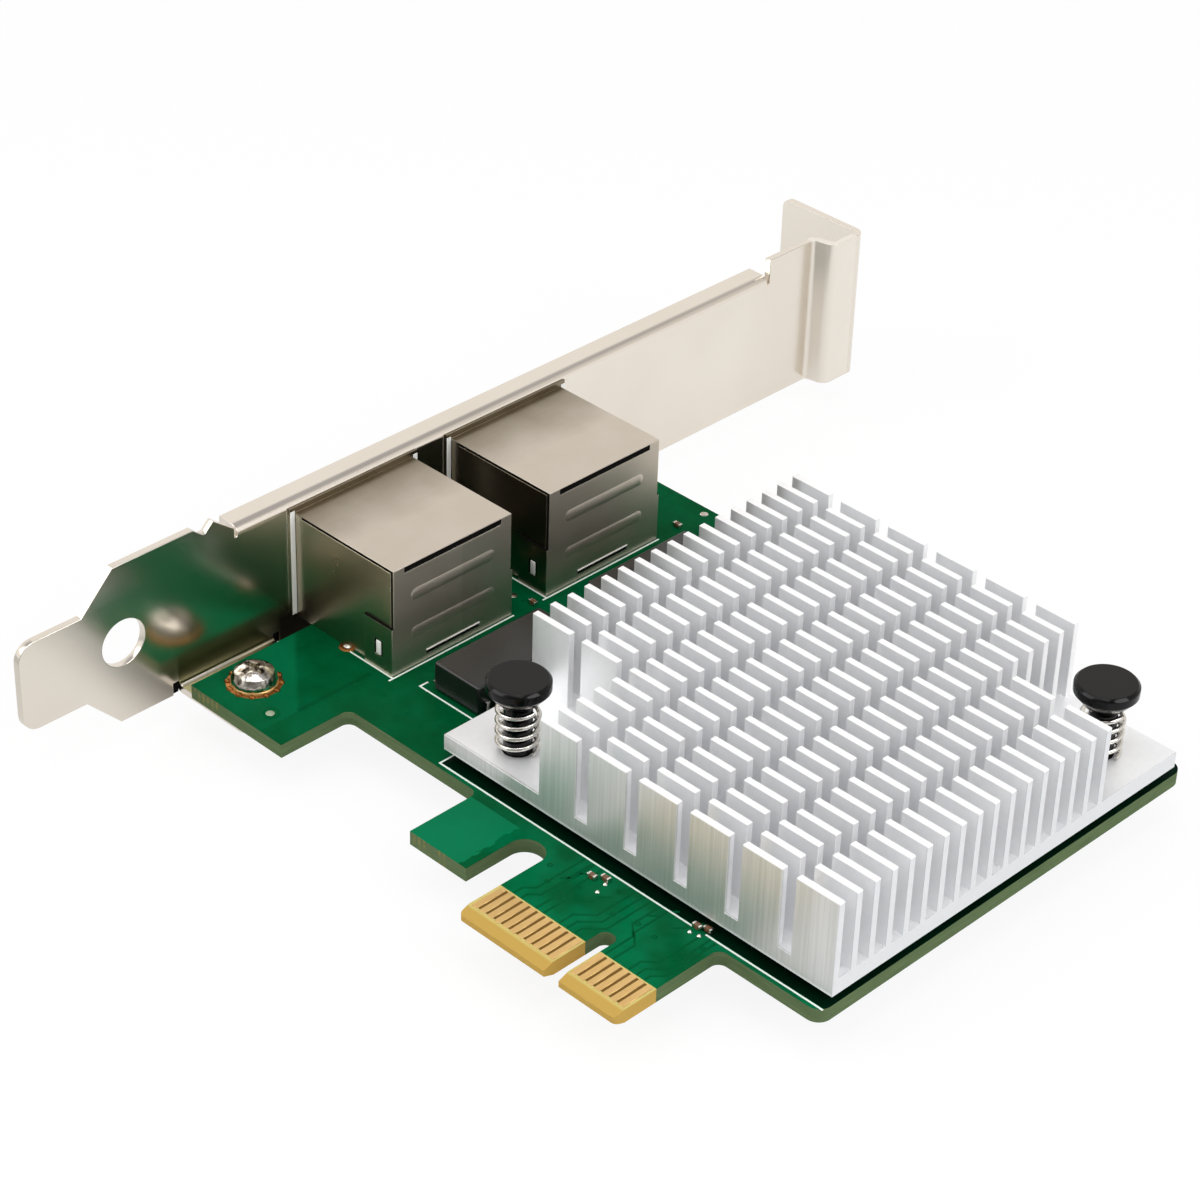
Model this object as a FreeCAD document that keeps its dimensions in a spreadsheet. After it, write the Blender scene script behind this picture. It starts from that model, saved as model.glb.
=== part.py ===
import FreeCAD, Part
import os
import Sketcher

# Network interface card with two sockets, a folded slot bracket and a pinned heat sink.
# X runs along the board from the bracket to its free end, Y from the edge connector to the
# far edge, Z up from the face that carries the parts. The origin is on the outer edge of
# the edge connector, at the middle of its key slot, in the component face.

doc = FreeCAD.newDocument("network_card")
dim = doc.addObject("Spreadsheet::Sheet", "dim")

SIZES = {
    # Circuit board: the ends and edges of its outline
    "board_thickness": 1.6,
    "board_left": -56.7,
    "board_far": 67.4,
    "board_overhung": 0.02,
    "board_front": 4.64,
    "board_step": 13.53,
    "bay_left": -42.8,
    "bay_right": -24.0,
    "hook_right": -16.2,
    "hook_notch_end": 12.4,
    "tongue_left": -12.2,
    "tongue_right": 8.1,
    "key_width": 1.9,
    "key_end": 7.9,
    "bevel_length": 1.27,
    "bevel_depth": 0.46,
    "inner_radius": 1.0,
    "corner_radius": 1.5,
    "tongue_radius": 0.5,
    # Contact fingers
    "finger_width": 0.7,
    "finger_pitch": 1.0,
    "finger_start": 1.3,
    "finger_end": 5.15,
    "finger_thickness": 0.05,
    "finger_first_long_row": -11.5,
    "finger_first_short_row": 1.5,
    "finger_count_long_row": 11,
    "finger_count_short_row": 7,
    # Bracket: a folded sheet
    "sheet": 0.86,
    "bend_radius": 0.45,
    "bracket_gap": 2.5,
    "bracket_width": 18.42,
    "bracket_end": -14.1,
    "neck_low": 1.64,
    "neck_high": 11.82,
    "neck_radius": 2.0,
    "shoulder_start": -6.4,
    "shoulder_run": 4.05,
    "bracket_hole_y": -1.54,
    "bracket_hole_z": 6.8,
    "bracket_hole_radius": 2.65,
    "lip_top": 13.95,
    "lip_reach": 2.9,
    "lip_start": 13.3,
    "lip_end": 92.1,
    "lip_bend": 0.15,
    "lip_relief": 0.35,
    "lip_relief_depth": 1.1,
    "notch_start": 7.7,
    "notch_bottom": 8.9,
    "notch_width": 0.4,
    "notch_depth": 1.0,
    "tooth_peak": 10.3,
    "jog_start": 99.9,
    "jog_run": 0.6,
    "jog": 2.6,
    "hanger_face": 105.93,
    "hanger_reach": 12.2,
    "hanger_radius": 1.0,
    "hanger_slot_width": 4.42,
    "hanger_slot_reach": 6.4,
    "hanger_slot_depth": 6.7,
    # Feet of the bracket under the board, and their screws
    "foot_reach": -49.0,
    "foot_near_start": 5.15,
    "foot_near_end": 17.5,
    "foot_far_start": 60.0,
    "foot_far_end": 66.4,
    "foot_relief": 0.85,
    "foot_relief_depth": 1.46,
    "foot_radius": 1.0,
    "screw_x": -52.8,
    "screw_near_y": 9.65,
    "screw_far_y": 63.2,
    "screw_radius": 1.2,
    "screw_tip": 3.4,
    "screw_head_radius": 2.4,
    "screw_head_height": 1.9,
    "screw_rim": 0.6,
    "screw_dome_radius": 2.04,
    "screw_dome": 1.43,
    "screw_crown_radius": 1.2,
    "screw_point_radius": 0.84,
    "screw_point": 0.36,
    "screw_recess_width": 0.7,
    "screw_recess_length": 2.8,
    "screw_recess_depth": 1.0,
    "screw_clearance": 0.25,
    "thread_clearance": 0.03,
    # Sockets: a folded shield round a moulded housing
    "jack_near_y": 20.66,
    "jack_far_y": 42.39,
    "jack_width": 16.21,
    "jack_height": 12.66,
    "jack_front": 1.4,
    "jack_rear": -43.94,
    "shield_wall": 0.25,
    "shield_flange": 0.66,
    "shield_flange_foot": 0.3,
    "window_clearance": 0.2,
    "rear_slot_margin": 1.44,
    "rear_slot_height": 0.5,
    "seam_width": 0.3,
    "seam_drop": 0.1,
    "seam_front": 1.3,
    "seam_rear": 0.16,
    "rear_notch_margin": 4.4,
    "rear_notch_height": 1.2,
    "latch_length": 4.26,
    "latch_height": 5.7,
    "latch_window_inset": 1.5,
    "latch_window_length": 1.2,
    "latch_window_low": 1.7,
    "latch_window_high": 3.6,
    "leg_x": -51.15,
    "leg_width": 1.2,
    "leg_length": 2.6,
    "leg_hole_radius": 0.8,
    "housing_setback": 0.15,
    "port_width": 11.9,
    "port_low": 4.1,
    "port_under_top": 1.91,
    "port_depth": 11.15,
    "port_latch_width": 6.2,
    "port_latch_low": 2.6,
    "port_catch_width": 4.0,
    "port_catch_low": 1.6,
    "chamber_front": 1.1,
    "chamber_width": 8.5,
    "chamber_under_top": 1.46,
    "chamber_overlap": 0.1,
    "chamber_wall": 1.0,
    "chamber_rear": 0.6,
    "peg_x": -53.5,
    "peg_spread": 5.72,
    "peg_radius": 1.6,
    "peg_length": 2.0,
    "peg_clearance": 0.05,
    # Socket contacts: bent strips in two staggered rows
    "wire": 0.35,
    "wire_width": 0.45,
    "wire_pitch": 1.02,
    "wire_row_front": -47.6,
    "wire_row_pitch": 2.54,
    "wire_under_top": 1.66,
    "wire_turn": 2.1,
    "wire_fall_run": 5.8,
    "wire_fall": 2.5,
    "wire_tail": 3.0,
    "wire_hole_radius": 0.42,
    # Magnetics modules behind the sockets
    "module_left": -39.5,
    "module_right": -33.0,
    "module_near_y": 22.0,
    "module_far_y": 43.7,
    "module_length": 14.7,
    "module_low": 0.15,
    "module_top": 3.5,
    "lead_count": 12,
    "lead_pitch": 1.14,
    "lead_width": 0.4,
    "lead_thickness": 0.2,
    "lead_level": 1.4,
    "lead_knee": 0.45,
    "lead_foot": 1.1,
    # Controller, its thermal pad and the heat sink
    "chip_size": 21.0,
    "chip_height": 0.75,
    "pad_size": 17.0,
    "sink_left": -30.45,
    "sink_length": 50.9,
    "sink_front": 15.0,
    "sink_width": 50.6,
    "sink_low": 1.0,
    "sink_base": 1.8,
    "fin_height": 8.85,
    "fin_thickness": 0.75,
    "fin_count": 22,
    "cross_cut_width": 1.65,
    "cross_cut_pitch": 6.5,
    "cross_cut_count": 7,
    "corner_cut_fins": 5,
    "corner_cut_segments": 2,
    # Push pins and their springs
    "pin_left_inset_x": 6.55,
    "pin_left_inset_y": 3.7,
    "pin_right_inset_x": 5.35,
    "pin_right_inset_y": 5.6,
    "pin_radius": 1.45,
    "pin_clearance": 0.08,
    "pin_top": 11.2,
    "pin_head_radius": 3.27,
    "pin_head_rim": 1.15,
    "pin_seat_radius": 2.3,
    "pin_seat": 8.85,
    "pin_neck": 7.9,
    "pin_crown": 0.3,
    "barb_radius": 1.95,
    "barb_gap": 0.1,
    "barb_rim": 0.5,
    "pin_tip": 4.6,
    "pin_tip_radius": 0.75,
    "pin_slit": 0.7,
    "pin_slit_end": 0.6,
    "spring_radius": 2.05,
    "spring_wire": 0.25,
    "spring_wire_sides": 8,
    "spring_top": 8.2,
    "spring_turns": 4.5,
    # Chip capacitors
    "cap_length": 1.0,
    "cap_width": 0.5,
    "cap_height": 0.5,
    "cap_end": 0.25,
    "cap_a_x": -43.9,
    "cap_a_y": 40.2,
    "cap_b_x": -44.1,
    "cap_b_y": 62.3,
    "cap_c_x": -7.1,
    "cap_c_y": 12.3,
    "cap_d_x": 4.7,
    "cap_d_y": 14.2,
}

for line, (name, value) in enumerate(SIZES.items(), start=1):
    dim.set("A%d" % line, name)
    dim.set("B%d" % line, str(value))
    dim.setAlias("B%d" % line, name)
doc.recompute()

# Places that follow from the sizes, as expressions of the sheet's cells.
BOARD_LOW = "-dim.board_thickness"
FACE = "dim.board_left - dim.bracket_gap"
OUTER_FACE = FACE + " - dim.sheet"
BRACKET_LOW = "-dim.board_thickness - dim.sheet"
BRACKET_HIGH = BRACKET_LOW + " + dim.bracket_width"
BEND_OUTER = "dim.bend_radius + dim.sheet"
SINK_TOP_OF_BASE = "dim.sink_low + dim.sink_base"
SINK_RIGHT = "dim.sink_left + dim.sink_length"
SINK_FAR = "dim.sink_front + dim.sink_width"
BOARD_RIGHT = SINK_RIGHT + " - dim.board_overhung"
FIN_PITCH = "(dim.sink_width - dim.fin_thickness) / (dim.fin_count - 1)"
JACK_FRONT = FACE + " - dim.jack_front"
JACK_MIDDLE = "dim.jack_width / 2"
PORT_HIGH = "dim.jack_height - dim.port_under_top"
PIN_X = {
    "left": "dim.sink_left + dim.pin_left_inset_x",
    "right": SINK_RIGHT + " - dim.pin_right_inset_x",
}
PIN_Y = {
    "left": "dim.sink_front + dim.pin_left_inset_y",
    "right": SINK_FAR + " - dim.pin_right_inset_y",
}

# How far a cut runs past what it cuts, the share of a slot's width that each of its end
# fillets takes, and the contacts of one socket.
MARGIN = "1"
END_ROUND = "0.48"
WIRES = 8
ROWS = 2
MIDDLE_WIRE = (WIRES - 1) / 2

PLANES = {"X": "YZ_Plane", "Y": "XZ_Plane", "Z": "XY_Plane"}
AXES = {"X": (0, 1, 2), "Y": (1, 0, 2), "Z": (2, 0, 1)}
pieces = []


def number(expression):
    """Value of an expression of the sheet's cells."""
    return float(dim.evalExpression(expression))


def piece(kind, name):
    """New sub-part whose label is the name of its node."""
    item = doc.addObject(kind, name)
    item.Label = name
    pieces.append(item)
    return item


def origin_item(body, role):
    """Plane or axis of a body's own origin."""
    return [item for item in body.Origin.OriginFeatures if item.Role == role][0]


def place(item, x="0", y="0", z="0"):
    """Bind the position of a sub-part to the sheet."""
    for axis, expression in zip("xyz", (x, y, z)):
        item.setExpression("Placement.Base." + axis, expression)


def bind(sketch, kind, geometry, point, expression):
    """Constrain one coordinate of a sketch point to an expression."""
    rule = Sketcher.Constraint(kind, -1, 1, geometry, point, number(expression))
    index = sketch.addConstraint(rule)
    sketch.setExpression("Constraints[%d]" % index, expression)


def loop(sketch, corners):
    """Closed outline of straight lines through corners given as pairs of expressions."""
    start = sketch.GeometryCount
    spots = [FreeCAD.Vector(number(a), number(b), 0) for a, b in corners]
    for k, spot in enumerate(spots):
        sketch.addGeometry(Part.LineSegment(spot, spots[(k + 1) % len(spots)]), False)
    for k, (a, b) in enumerate(corners):
        following = start + (k + 1) % len(corners)
        sketch.addConstraint(Sketcher.Constraint("Coincident", start + k, 2, following, 1))
        bind(sketch, "DistanceX", start + k, 1, a)
        bind(sketch, "DistanceY", start + k, 1, b)


def circle(sketch, a, b, radius):
    """Circle with its centre and radius given as expressions."""
    centre = FreeCAD.Vector(number(a), number(b), 0)
    index = sketch.addGeometry(Part.Circle(centre, FreeCAD.Vector(0, 0, 1), number(radius)), False)
    bind(sketch, "DistanceX", index, 3, a)
    bind(sketch, "DistanceY", index, 3, b)
    rule = sketch.addConstraint(Sketcher.Constraint("Radius", index, number(radius)))
    sketch.setExpression("Constraints[%d]" % rule, radius)


def box(a_low, a_high, b_low, b_high):
    """Corners of a rectangle."""
    return [(a_low, b_low), (a_high, b_low), (a_high, b_high), (a_low, b_high)]


def sketch_on(body, axis, offset):
    """Sketch across an axis; X sketches hold (y, z), Y sketches (x, z), Z sketches (x, y)."""
    sketch = body.newObject("Sketcher::SketchObject", body.Name + "_sketch")
    sketch.AttachmentSupport = (origin_item(body, PLANES[axis]), "")
    sketch.MapMode = "FlatFace"
    sketch.setExpression("AttachmentOffset.Base.z", offset)
    return sketch


def fill(sketch, shapes):
    """Draw outlines, lists of corners, and circles, triples of expressions."""
    for shape in shapes:
        if isinstance(shape, list):
            loop(sketch, shape)
        else:
            circle(sketch, *shape)


def pad(body, axis, low, high, *shapes):
    """Solid between two places along an axis."""
    offset = "-(%s)" % high if axis == "Y" else low
    sketch = sketch_on(body, axis, offset)
    fill(sketch, shapes)
    feature = body.newObject("PartDesign::Pad", body.Name + "_pad")
    feature.Profile = sketch
    feature.setExpression("Length", "(%s) - (%s)" % (high, low))
    return feature


def pocket(body, axis, low, high, *shapes):
    """Cut between two places along an axis, from the sketch against its normal."""
    offset = "-(%s)" % low if axis == "Y" else high
    sketch = sketch_on(body, axis, offset)
    fill(sketch, shapes)
    feature = body.newObject("PartDesign::Pocket", body.Name + "_pocket")
    feature.Profile = sketch
    feature.setExpression("Length", "(%s) - (%s)" % (high, low))
    return feature


def row(body, features, axis, pitch, count):
    """Repeat features along an axis of the body."""
    pattern = body.newObject("PartDesign::LinearPattern", body.Name + "_row")
    pattern.Originals = features
    pattern.Direction = (origin_item(body, axis + "_Axis"), [""])
    pattern.Mode = "Spacing"
    pattern.setExpression("Offset", pitch)
    pattern.setExpression("Occurrences", count)
    body.Tip = pattern
    return pattern


def turned(body, corners):
    """Solid turned about the body's Z axis from a half section of (radius, z) corners."""
    sketch = sketch_on(body, "Y", "0")
    loop(sketch, corners)
    feature = body.newObject("PartDesign::Revolution", body.Name + "_turned")
    feature.Profile = sketch
    feature.ReferenceAxis = (sketch, ["V_Axis"])
    feature.Angle = 360
    return feature


def straight_edges(shape, axis, spots, low=None, high=None):
    """Names of the edges along an axis at the given spots, within an optional range."""
    along, first, second = AXES[axis]
    wanted = [(number(a), number(b)) for a, b in spots]
    names = []
    for index, edge in enumerate(shape.Edges, start=1):
        ends = [vertex.Point for vertex in edge.Vertexes]
        if len(ends) != 2 or abs(ends[0][along] - ends[1][along]) < 0.001:
            continue
        middle = (ends[0][along] + ends[1][along]) / 2
        if low is not None and not number(low) < middle < number(high):
            continue
        for a, b in wanted:
            if all(abs(end[first] - a) < 0.001 and abs(end[second] - b) < 0.001 for end in ends):
                names.append("Edge%d" % index)
    return names


def round_edges(body, radius, axis, spots, low=None, high=None):
    """Fillet the straight edges found at the given spots."""
    doc.recompute()
    base = body.Tip
    names = straight_edges(base.Shape, axis, spots, low, high)
    if len(names) < len(spots):
        raise ValueError("edges missing on %s: %s" % (body.Label, spots))
    feature = body.newObject("PartDesign::Fillet", body.Name + "_fillet")
    feature.Base = (base, names)
    feature.setExpression("Radius", radius)
    return feature


# Circuit board
def jack_holes(start):
    """Holes for one socket: two pegs, two shield legs and eight contact tails."""
    middle = "%s + dim.jack_width / 2" % start
    peg = "dim.peg_radius + dim.peg_clearance"
    holes = [
        ("dim.peg_x", middle + " - dim.peg_spread", peg),
        ("dim.peg_x", middle + " + dim.peg_spread", peg),
        ("dim.leg_x", start + " + dim.shield_wall / 2", "dim.leg_hole_radius"),
        ("dim.leg_x", start + " + dim.jack_width - dim.shield_wall / 2", "dim.leg_hole_radius"),
    ]
    for k in range(WIRES):
        x = "dim.wire_row_front + %d * dim.wire_row_pitch" % (k % ROWS)
        y = "%s + (%s) * dim.wire_pitch" % (middle, k - MIDDLE_WIRE)
        holes.append((x, y, "dim.wire_hole_radius"))
    return holes


def make_board():
    body = piece("PartDesign::Body", "circuit_board")
    key_left = "-dim.key_width / 2"
    key_right = "dim.key_width / 2"
    outline = [
        ("dim.board_left", "dim.board_front"),
        ("dim.bay_left", "dim.board_front"),
        ("dim.bay_left", "dim.board_step"),
        ("dim.bay_right", "dim.board_step"),
        ("dim.bay_right", "dim.board_front"),
        ("dim.hook_right", "dim.board_front"),
        ("dim.hook_right", "dim.hook_notch_end"),
        ("dim.tongue_left", "dim.hook_notch_end"),
        ("dim.tongue_left", "0"),
        (key_left, "0"),
        (key_left, "dim.key_end"),
        (key_right, "dim.key_end"),
        (key_right, "0"),
        ("dim.tongue_right", "0"),
        ("dim.tongue_right", "dim.board_step"),
        (BOARD_RIGHT, "dim.board_step"),
        (BOARD_RIGHT, "dim.board_far"),
        ("dim.board_left", "dim.board_far"),
    ]
    pad(body, "Z", BOARD_LOW, "0", outline)
    round_edges(body, "dim.inner_radius", "Z", [outline[2], outline[3], outline[14]])
    round_edges(body, "(dim.tongue_left - dim.hook_right) * " + END_ROUND, "Z", [outline[6], outline[7]])
    round_edges(body, "dim.key_width * " + END_ROUND, "Z", [outline[10], outline[11]])
    round_edges(body, "dim.corner_radius", "Z", [outline[15], outline[16]])
    round_edges(body, "dim.tongue_radius", "Z", [outline[8], outline[13], outline[17]])
    upper = [("0", "-dim.bevel_depth"), ("dim.bevel_length", "0"), ("0", MARGIN)]
    below = BOARD_LOW + " - " + MARGIN
    lower = [("0", BOARD_LOW + " + dim.bevel_depth"), ("dim.bevel_length", BOARD_LOW), ("0", below)]
    left = "dim.tongue_left - " + MARGIN
    pocket(body, "X", left, "dim.tongue_right + " + MARGIN, upper, lower)
    screw = "dim.screw_radius + dim.screw_clearance"
    pin = "dim.pin_radius + dim.pin_clearance"
    holes = [
        ("dim.screw_x", "dim.screw_near_y", screw),
        ("dim.screw_x", "dim.screw_far_y", screw),
        (PIN_X["left"], PIN_Y["left"], pin),
        (PIN_X["right"], PIN_Y["right"], pin),
    ]
    holes += jack_holes("dim.jack_near_y")
    holes += jack_holes("dim.jack_far_y")
    pocket(body, "Z", below, MARGIN, *holes)


# Contact fingers on each face of the connector
def make_fingers(name, low, high):
    body = piece("PartDesign::Body", name)
    rows = [
        ("dim.finger_first_long_row", "dim.finger_count_long_row"),
        ("dim.finger_first_short_row", "dim.finger_count_short_row"),
    ]
    for first, count in rows:
        left = first + " - dim.finger_width / 2"
        right = first + " + dim.finger_width / 2"
        finger = pad(body, "Z", low, high, box(left, right, "dim.finger_start", "dim.finger_end"))
        row(body, [finger], "X", "dim.finger_pitch", count)


# Bracket, folded from one sheet
def make_bracket():
    body = piece("PartDesign::Body", "bracket")
    low = BRACKET_LOW
    high = BRACKET_HIGH
    jog_face = FACE + " + dim.jog"
    slant = "sqrt(dim.jog * dim.jog + dim.jog_run * dim.jog_run)"
    miter = " + dim.sheet * (%s - dim.jog_run) / dim.jog" % slant
    jog_end = "dim.jog_start + dim.jog_run"
    hanger_back = "dim.hanger_face - dim.sheet"
    hanger_end = jog_face + " - dim.hanger_reach"
    section = [
        (FACE, "dim.bracket_end"),
        (FACE, "dim.jog_start"),
        (jog_face, jog_end),
        (jog_face, "dim.hanger_face"),
        (hanger_end, "dim.hanger_face"),
        (hanger_end, hanger_back),
        (jog_face + " - dim.sheet", hanger_back),
        (jog_face + " - dim.sheet", jog_end + miter),
        (OUTER_FACE, "dim.jog_start" + miter),
        (OUTER_FACE, "dim.bracket_end"),
    ]
    pad(body, "Z", low + " - " + MARGIN, high + " + " + MARGIN, section)
    round_edges(body, "dim.bend_radius", "Z", [section[1], section[6], section[7]])
    round_edges(body, BEND_OUTER, "Z", [section[2], section[3], section[8]])

    # The sheet's outline seen from the board's side, cut as the ring that lies outside it
    shoulder_end = "dim.shoulder_start + dim.shoulder_run"
    relief = "dim.lip_top - dim.lip_relief_depth"
    past_hanger = "dim.hanger_face + " + MARGIN
    outline = [
        ("dim.bracket_end", "dim.neck_low"),
        ("dim.shoulder_start", "dim.neck_low"),
        (shoulder_end, low),
        (past_hanger, low),
        (past_hanger, high),
        ("dim.lip_end + dim.lip_relief", high),
        ("dim.lip_end + dim.lip_relief", relief),
        ("dim.lip_end", relief),
        ("dim.lip_end", "dim.lip_top"),
        ("dim.lip_start", "dim.lip_top"),
        ("dim.lip_start", relief),
        ("dim.lip_start - dim.lip_relief", relief),
        ("dim.lip_start - dim.lip_relief", "dim.lip_top"),
        ("dim.tooth_peak", high),
        ("dim.notch_bottom + dim.notch_width", high + " - dim.notch_depth"),
        ("dim.notch_bottom", high + " - dim.notch_depth"),
        ("dim.notch_start", high),
        (shoulder_end, high),
        ("dim.shoulder_start", "dim.neck_high"),
        ("dim.bracket_end", "dim.neck_high"),
    ]
    wide = "5 * " + MARGIN
    around = box(
        "dim.bracket_end - " + wide, "dim.hanger_face + " + wide,
        low + " - " + wide, high + " + " + wide,
    )
    far_left = hanger_end + " - " + MARGIN
    far_right = jog_face + " + " + MARGIN
    pocket(body, "X", far_left, far_right, around, outline)
    neck = [("dim.bracket_end", "dim.neck_low"), ("dim.bracket_end", "dim.neck_high")]
    round_edges(body, "dim.neck_radius", "X", neck)

    # Stiffening lip along the upper edge, bent outwards
    lip_edge = FACE + " - dim.lip_reach"
    lip = box(lip_edge, FACE, "dim.lip_start", "dim.lip_end")
    pad(body, "Z", "dim.lip_top - dim.sheet", "dim.lip_top", lip)
    round_edges(body, "dim.lip_bend", "Y", [(OUTER_FACE, "dim.lip_top - dim.sheet")])
    round_edges(body, "dim.lip_bend + dim.sheet", "Y", [(FACE, "dim.lip_top")])

    # Feet bent under the board
    feet = [("dim.foot_near_start", "dim.foot_near_end"), ("dim.foot_far_start", "dim.foot_far_end")]
    pads = [box(OUTER_FACE, "dim.foot_reach", start, end) for start, end in feet]
    pad(body, "Z", low, BOARD_LOW, *pads)
    reliefs = []
    below = low + " - " + MARGIN
    relief_top = low + " + dim.foot_relief_depth"
    for start, end in feet:
        reliefs.append(box(start + " - dim.foot_relief", start, below, relief_top))
        reliefs.append(box(end, end + " + dim.foot_relief", below, relief_top))
    pocket(body, "X", OUTER_FACE + " - " + MARGIN, FACE + " + " + MARGIN, *reliefs)
    for start, end in feet:
        round_edges(body, "dim.bend_radius", "Y", [(FACE, BOARD_LOW)], start, end)
        round_edges(body, BEND_OUTER, "Y", [(OUTER_FACE, low)], start, end)
        corners = [("dim.foot_reach", start), ("dim.foot_reach", end)]
        round_edges(body, "dim.foot_radius", "Z", corners)
    thread = "dim.screw_radius + dim.thread_clearance"
    taps = [("dim.screw_x", "dim.screw_near_y", thread), ("dim.screw_x", "dim.screw_far_y", thread)]
    pocket(body, "Z", below, BOARD_LOW + " + " + MARGIN, *taps)

    # Socket windows and the round hole by the neck
    windows = []
    for start in ("dim.jack_near_y", "dim.jack_far_y"):
        near = start + " - dim.window_clearance"
        far = start + " + dim.jack_width + dim.window_clearance"
        windows.append(box(near, far, "-dim.window_clearance", "dim.jack_height + dim.window_clearance"))
    hole = ("dim.bracket_hole_y", "dim.bracket_hole_z", "dim.bracket_hole_radius")
    pocket(body, "X", OUTER_FACE + " - dim.window_clearance", FACE + " + " + MARGIN, *windows, hole)

    # Screw slot and rounded corners of the hanger
    slot_middle = jog_face + " - dim.hanger_slot_reach"
    slot_left = slot_middle + " - dim.hanger_slot_width / 2"
    slot_right = slot_middle + " + dim.hanger_slot_width / 2"
    slot_end = low + " + dim.hanger_slot_depth"
    slot = box(slot_left, slot_right, below, slot_end)
    pocket(body, "Y", hanger_back + " - " + MARGIN, past_hanger, slot)
    slot_corners = [(slot_left, slot_end), (slot_right, slot_end)]
    round_edges(body, "dim.hanger_slot_width * " + END_ROUND, "Y", slot_corners)
    round_edges(body, "dim.hanger_radius", "Y", [(hanger_end, high)])
    round_edges(body, "dim.foot_radius", "Y", [(hanger_end, low)])


# Two identical screws that hold the board to the bracket's feet
def make_screws():
    body = piece("PartDesign::Body", "bracket_screws")
    place(body, "dim.screw_x", "dim.screw_near_y")
    profile = [
        ("0", "-dim.screw_tip"),
        ("dim.screw_point_radius", "-dim.screw_tip"),
        ("dim.screw_radius", "dim.screw_point - dim.screw_tip"),
        ("dim.screw_radius", "0"),
        ("dim.screw_head_radius", "0"),
        ("dim.screw_head_radius", "dim.screw_rim"),
        ("dim.screw_dome_radius", "dim.screw_dome"),
        ("dim.screw_crown_radius", "dim.screw_head_height"),
        ("0", "dim.screw_head_height"),
    ]
    shape = turned(body, profile)
    half = "dim.screw_recess_width / 2"
    reach = "dim.screw_recess_length / 2"
    cross = [
        ("-" + reach, "-" + half),
        ("-" + half, "-" + half),
        ("-" + half, "-" + reach),
        (half, "-" + reach),
        (half, "-" + half),
        (reach, "-" + half),
        (reach, half),
        (half, half),
        (half, reach),
        ("-" + half, reach),
        ("-" + half, half),
        ("-" + reach, half),
    ]
    depth = "dim.screw_head_height - dim.screw_recess_depth"
    recess = pocket(body, "Z", depth, "dim.screw_head_height + " + MARGIN, cross)
    row(body, [shape, recess], "Y", "dim.screw_far_y - dim.screw_near_y", "2")


# Socket shield, folded from thin sheet and open at the front and below
def make_shield(name, start):
    body = piece("PartDesign::Body", name)
    place(body, y=start)
    wall = "dim.shield_wall"
    inner_rear = "dim.jack_rear - " + wall
    inner_top = "dim.jack_height - " + wall
    far = "dim.jack_width"
    far_in = far + " - " + wall
    pad(body, "X", JACK_FRONT, "dim.jack_rear", box("0", far, "0", "dim.jack_height"))
    below = "-" + MARGIN
    pocket(body, "X", JACK_FRONT + " - " + MARGIN, inner_rear, box(wall, far_in, below, inner_top))

    # Flange that bears on the inside of the bracket round the window
    edge = "dim.shield_flange"
    flange = [
        ("-" + edge, "dim.shield_flange_foot"),
        ("0", "dim.shield_flange_foot"),
        ("0", "dim.jack_height"),
        (far, "dim.jack_height"),
        (far, "dim.shield_flange_foot"),
        (far + " + " + edge, "dim.shield_flange_foot"),
        (far + " + " + edge, "dim.jack_height + " + edge),
        ("-" + edge, "dim.jack_height + " + edge),
    ]
    pad(body, "X", FACE, FACE + " + " + wall, flange)

    # Rear flap: slot under the top edge, notch at the board
    slot_margin = "dim.rear_slot_margin"
    slot = box(slot_margin, far + " - " + slot_margin, inner_top + " - dim.rear_slot_height", inner_top)
    notch_margin = "dim.rear_notch_margin"
    notch = box(notch_margin, far + " - " + notch_margin, below, "dim.rear_notch_height")
    pocket(body, "X", inner_rear, "dim.jack_rear + " + MARGIN, slot, notch)

    # Open seams of the folded sheet along the top of each side and down the rear corners
    seam_rear = "dim.jack_rear - dim.seam_rear"
    seam_left = FACE + " + dim.seam_front"
    seam_high = "dim.jack_height - dim.seam_drop"
    level_seam = box(seam_left, seam_rear, seam_high + " - dim.seam_width", seam_high)
    upright_seam = box(seam_rear + " - dim.seam_width", seam_rear, "dim.latch_height", seam_high)
    for near, away in (("-" + wall, wall), (far_in, far + " + " + wall)):
        pocket(body, "Y", near, away, level_seam)
        pocket(body, "Y", near, away, upright_seam)

    # Tabs of the rear flap folded along the sides, each with a window for its catch
    latch = box("dim.jack_rear - dim.latch_length", "dim.jack_rear", "0", "dim.latch_height")
    window_right = "dim.jack_rear - dim.latch_window_inset"
    window_left = window_right + " - dim.latch_window_length"
    window = box(window_left, window_right, "dim.latch_window_low", "dim.latch_window_high")
    pad(body, "Y", "-" + wall, "0", latch, window)
    pad(body, "Y", far, far + " + " + wall, latch, window)

    # Legs soldered into the board
    leg = box("dim.leg_x - dim.leg_width / 2", "dim.leg_x + dim.leg_width / 2", "-dim.leg_length", wall)
    pad(body, "Y", "0", wall, leg)
    pad(body, "Y", far_in, far, leg)


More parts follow.
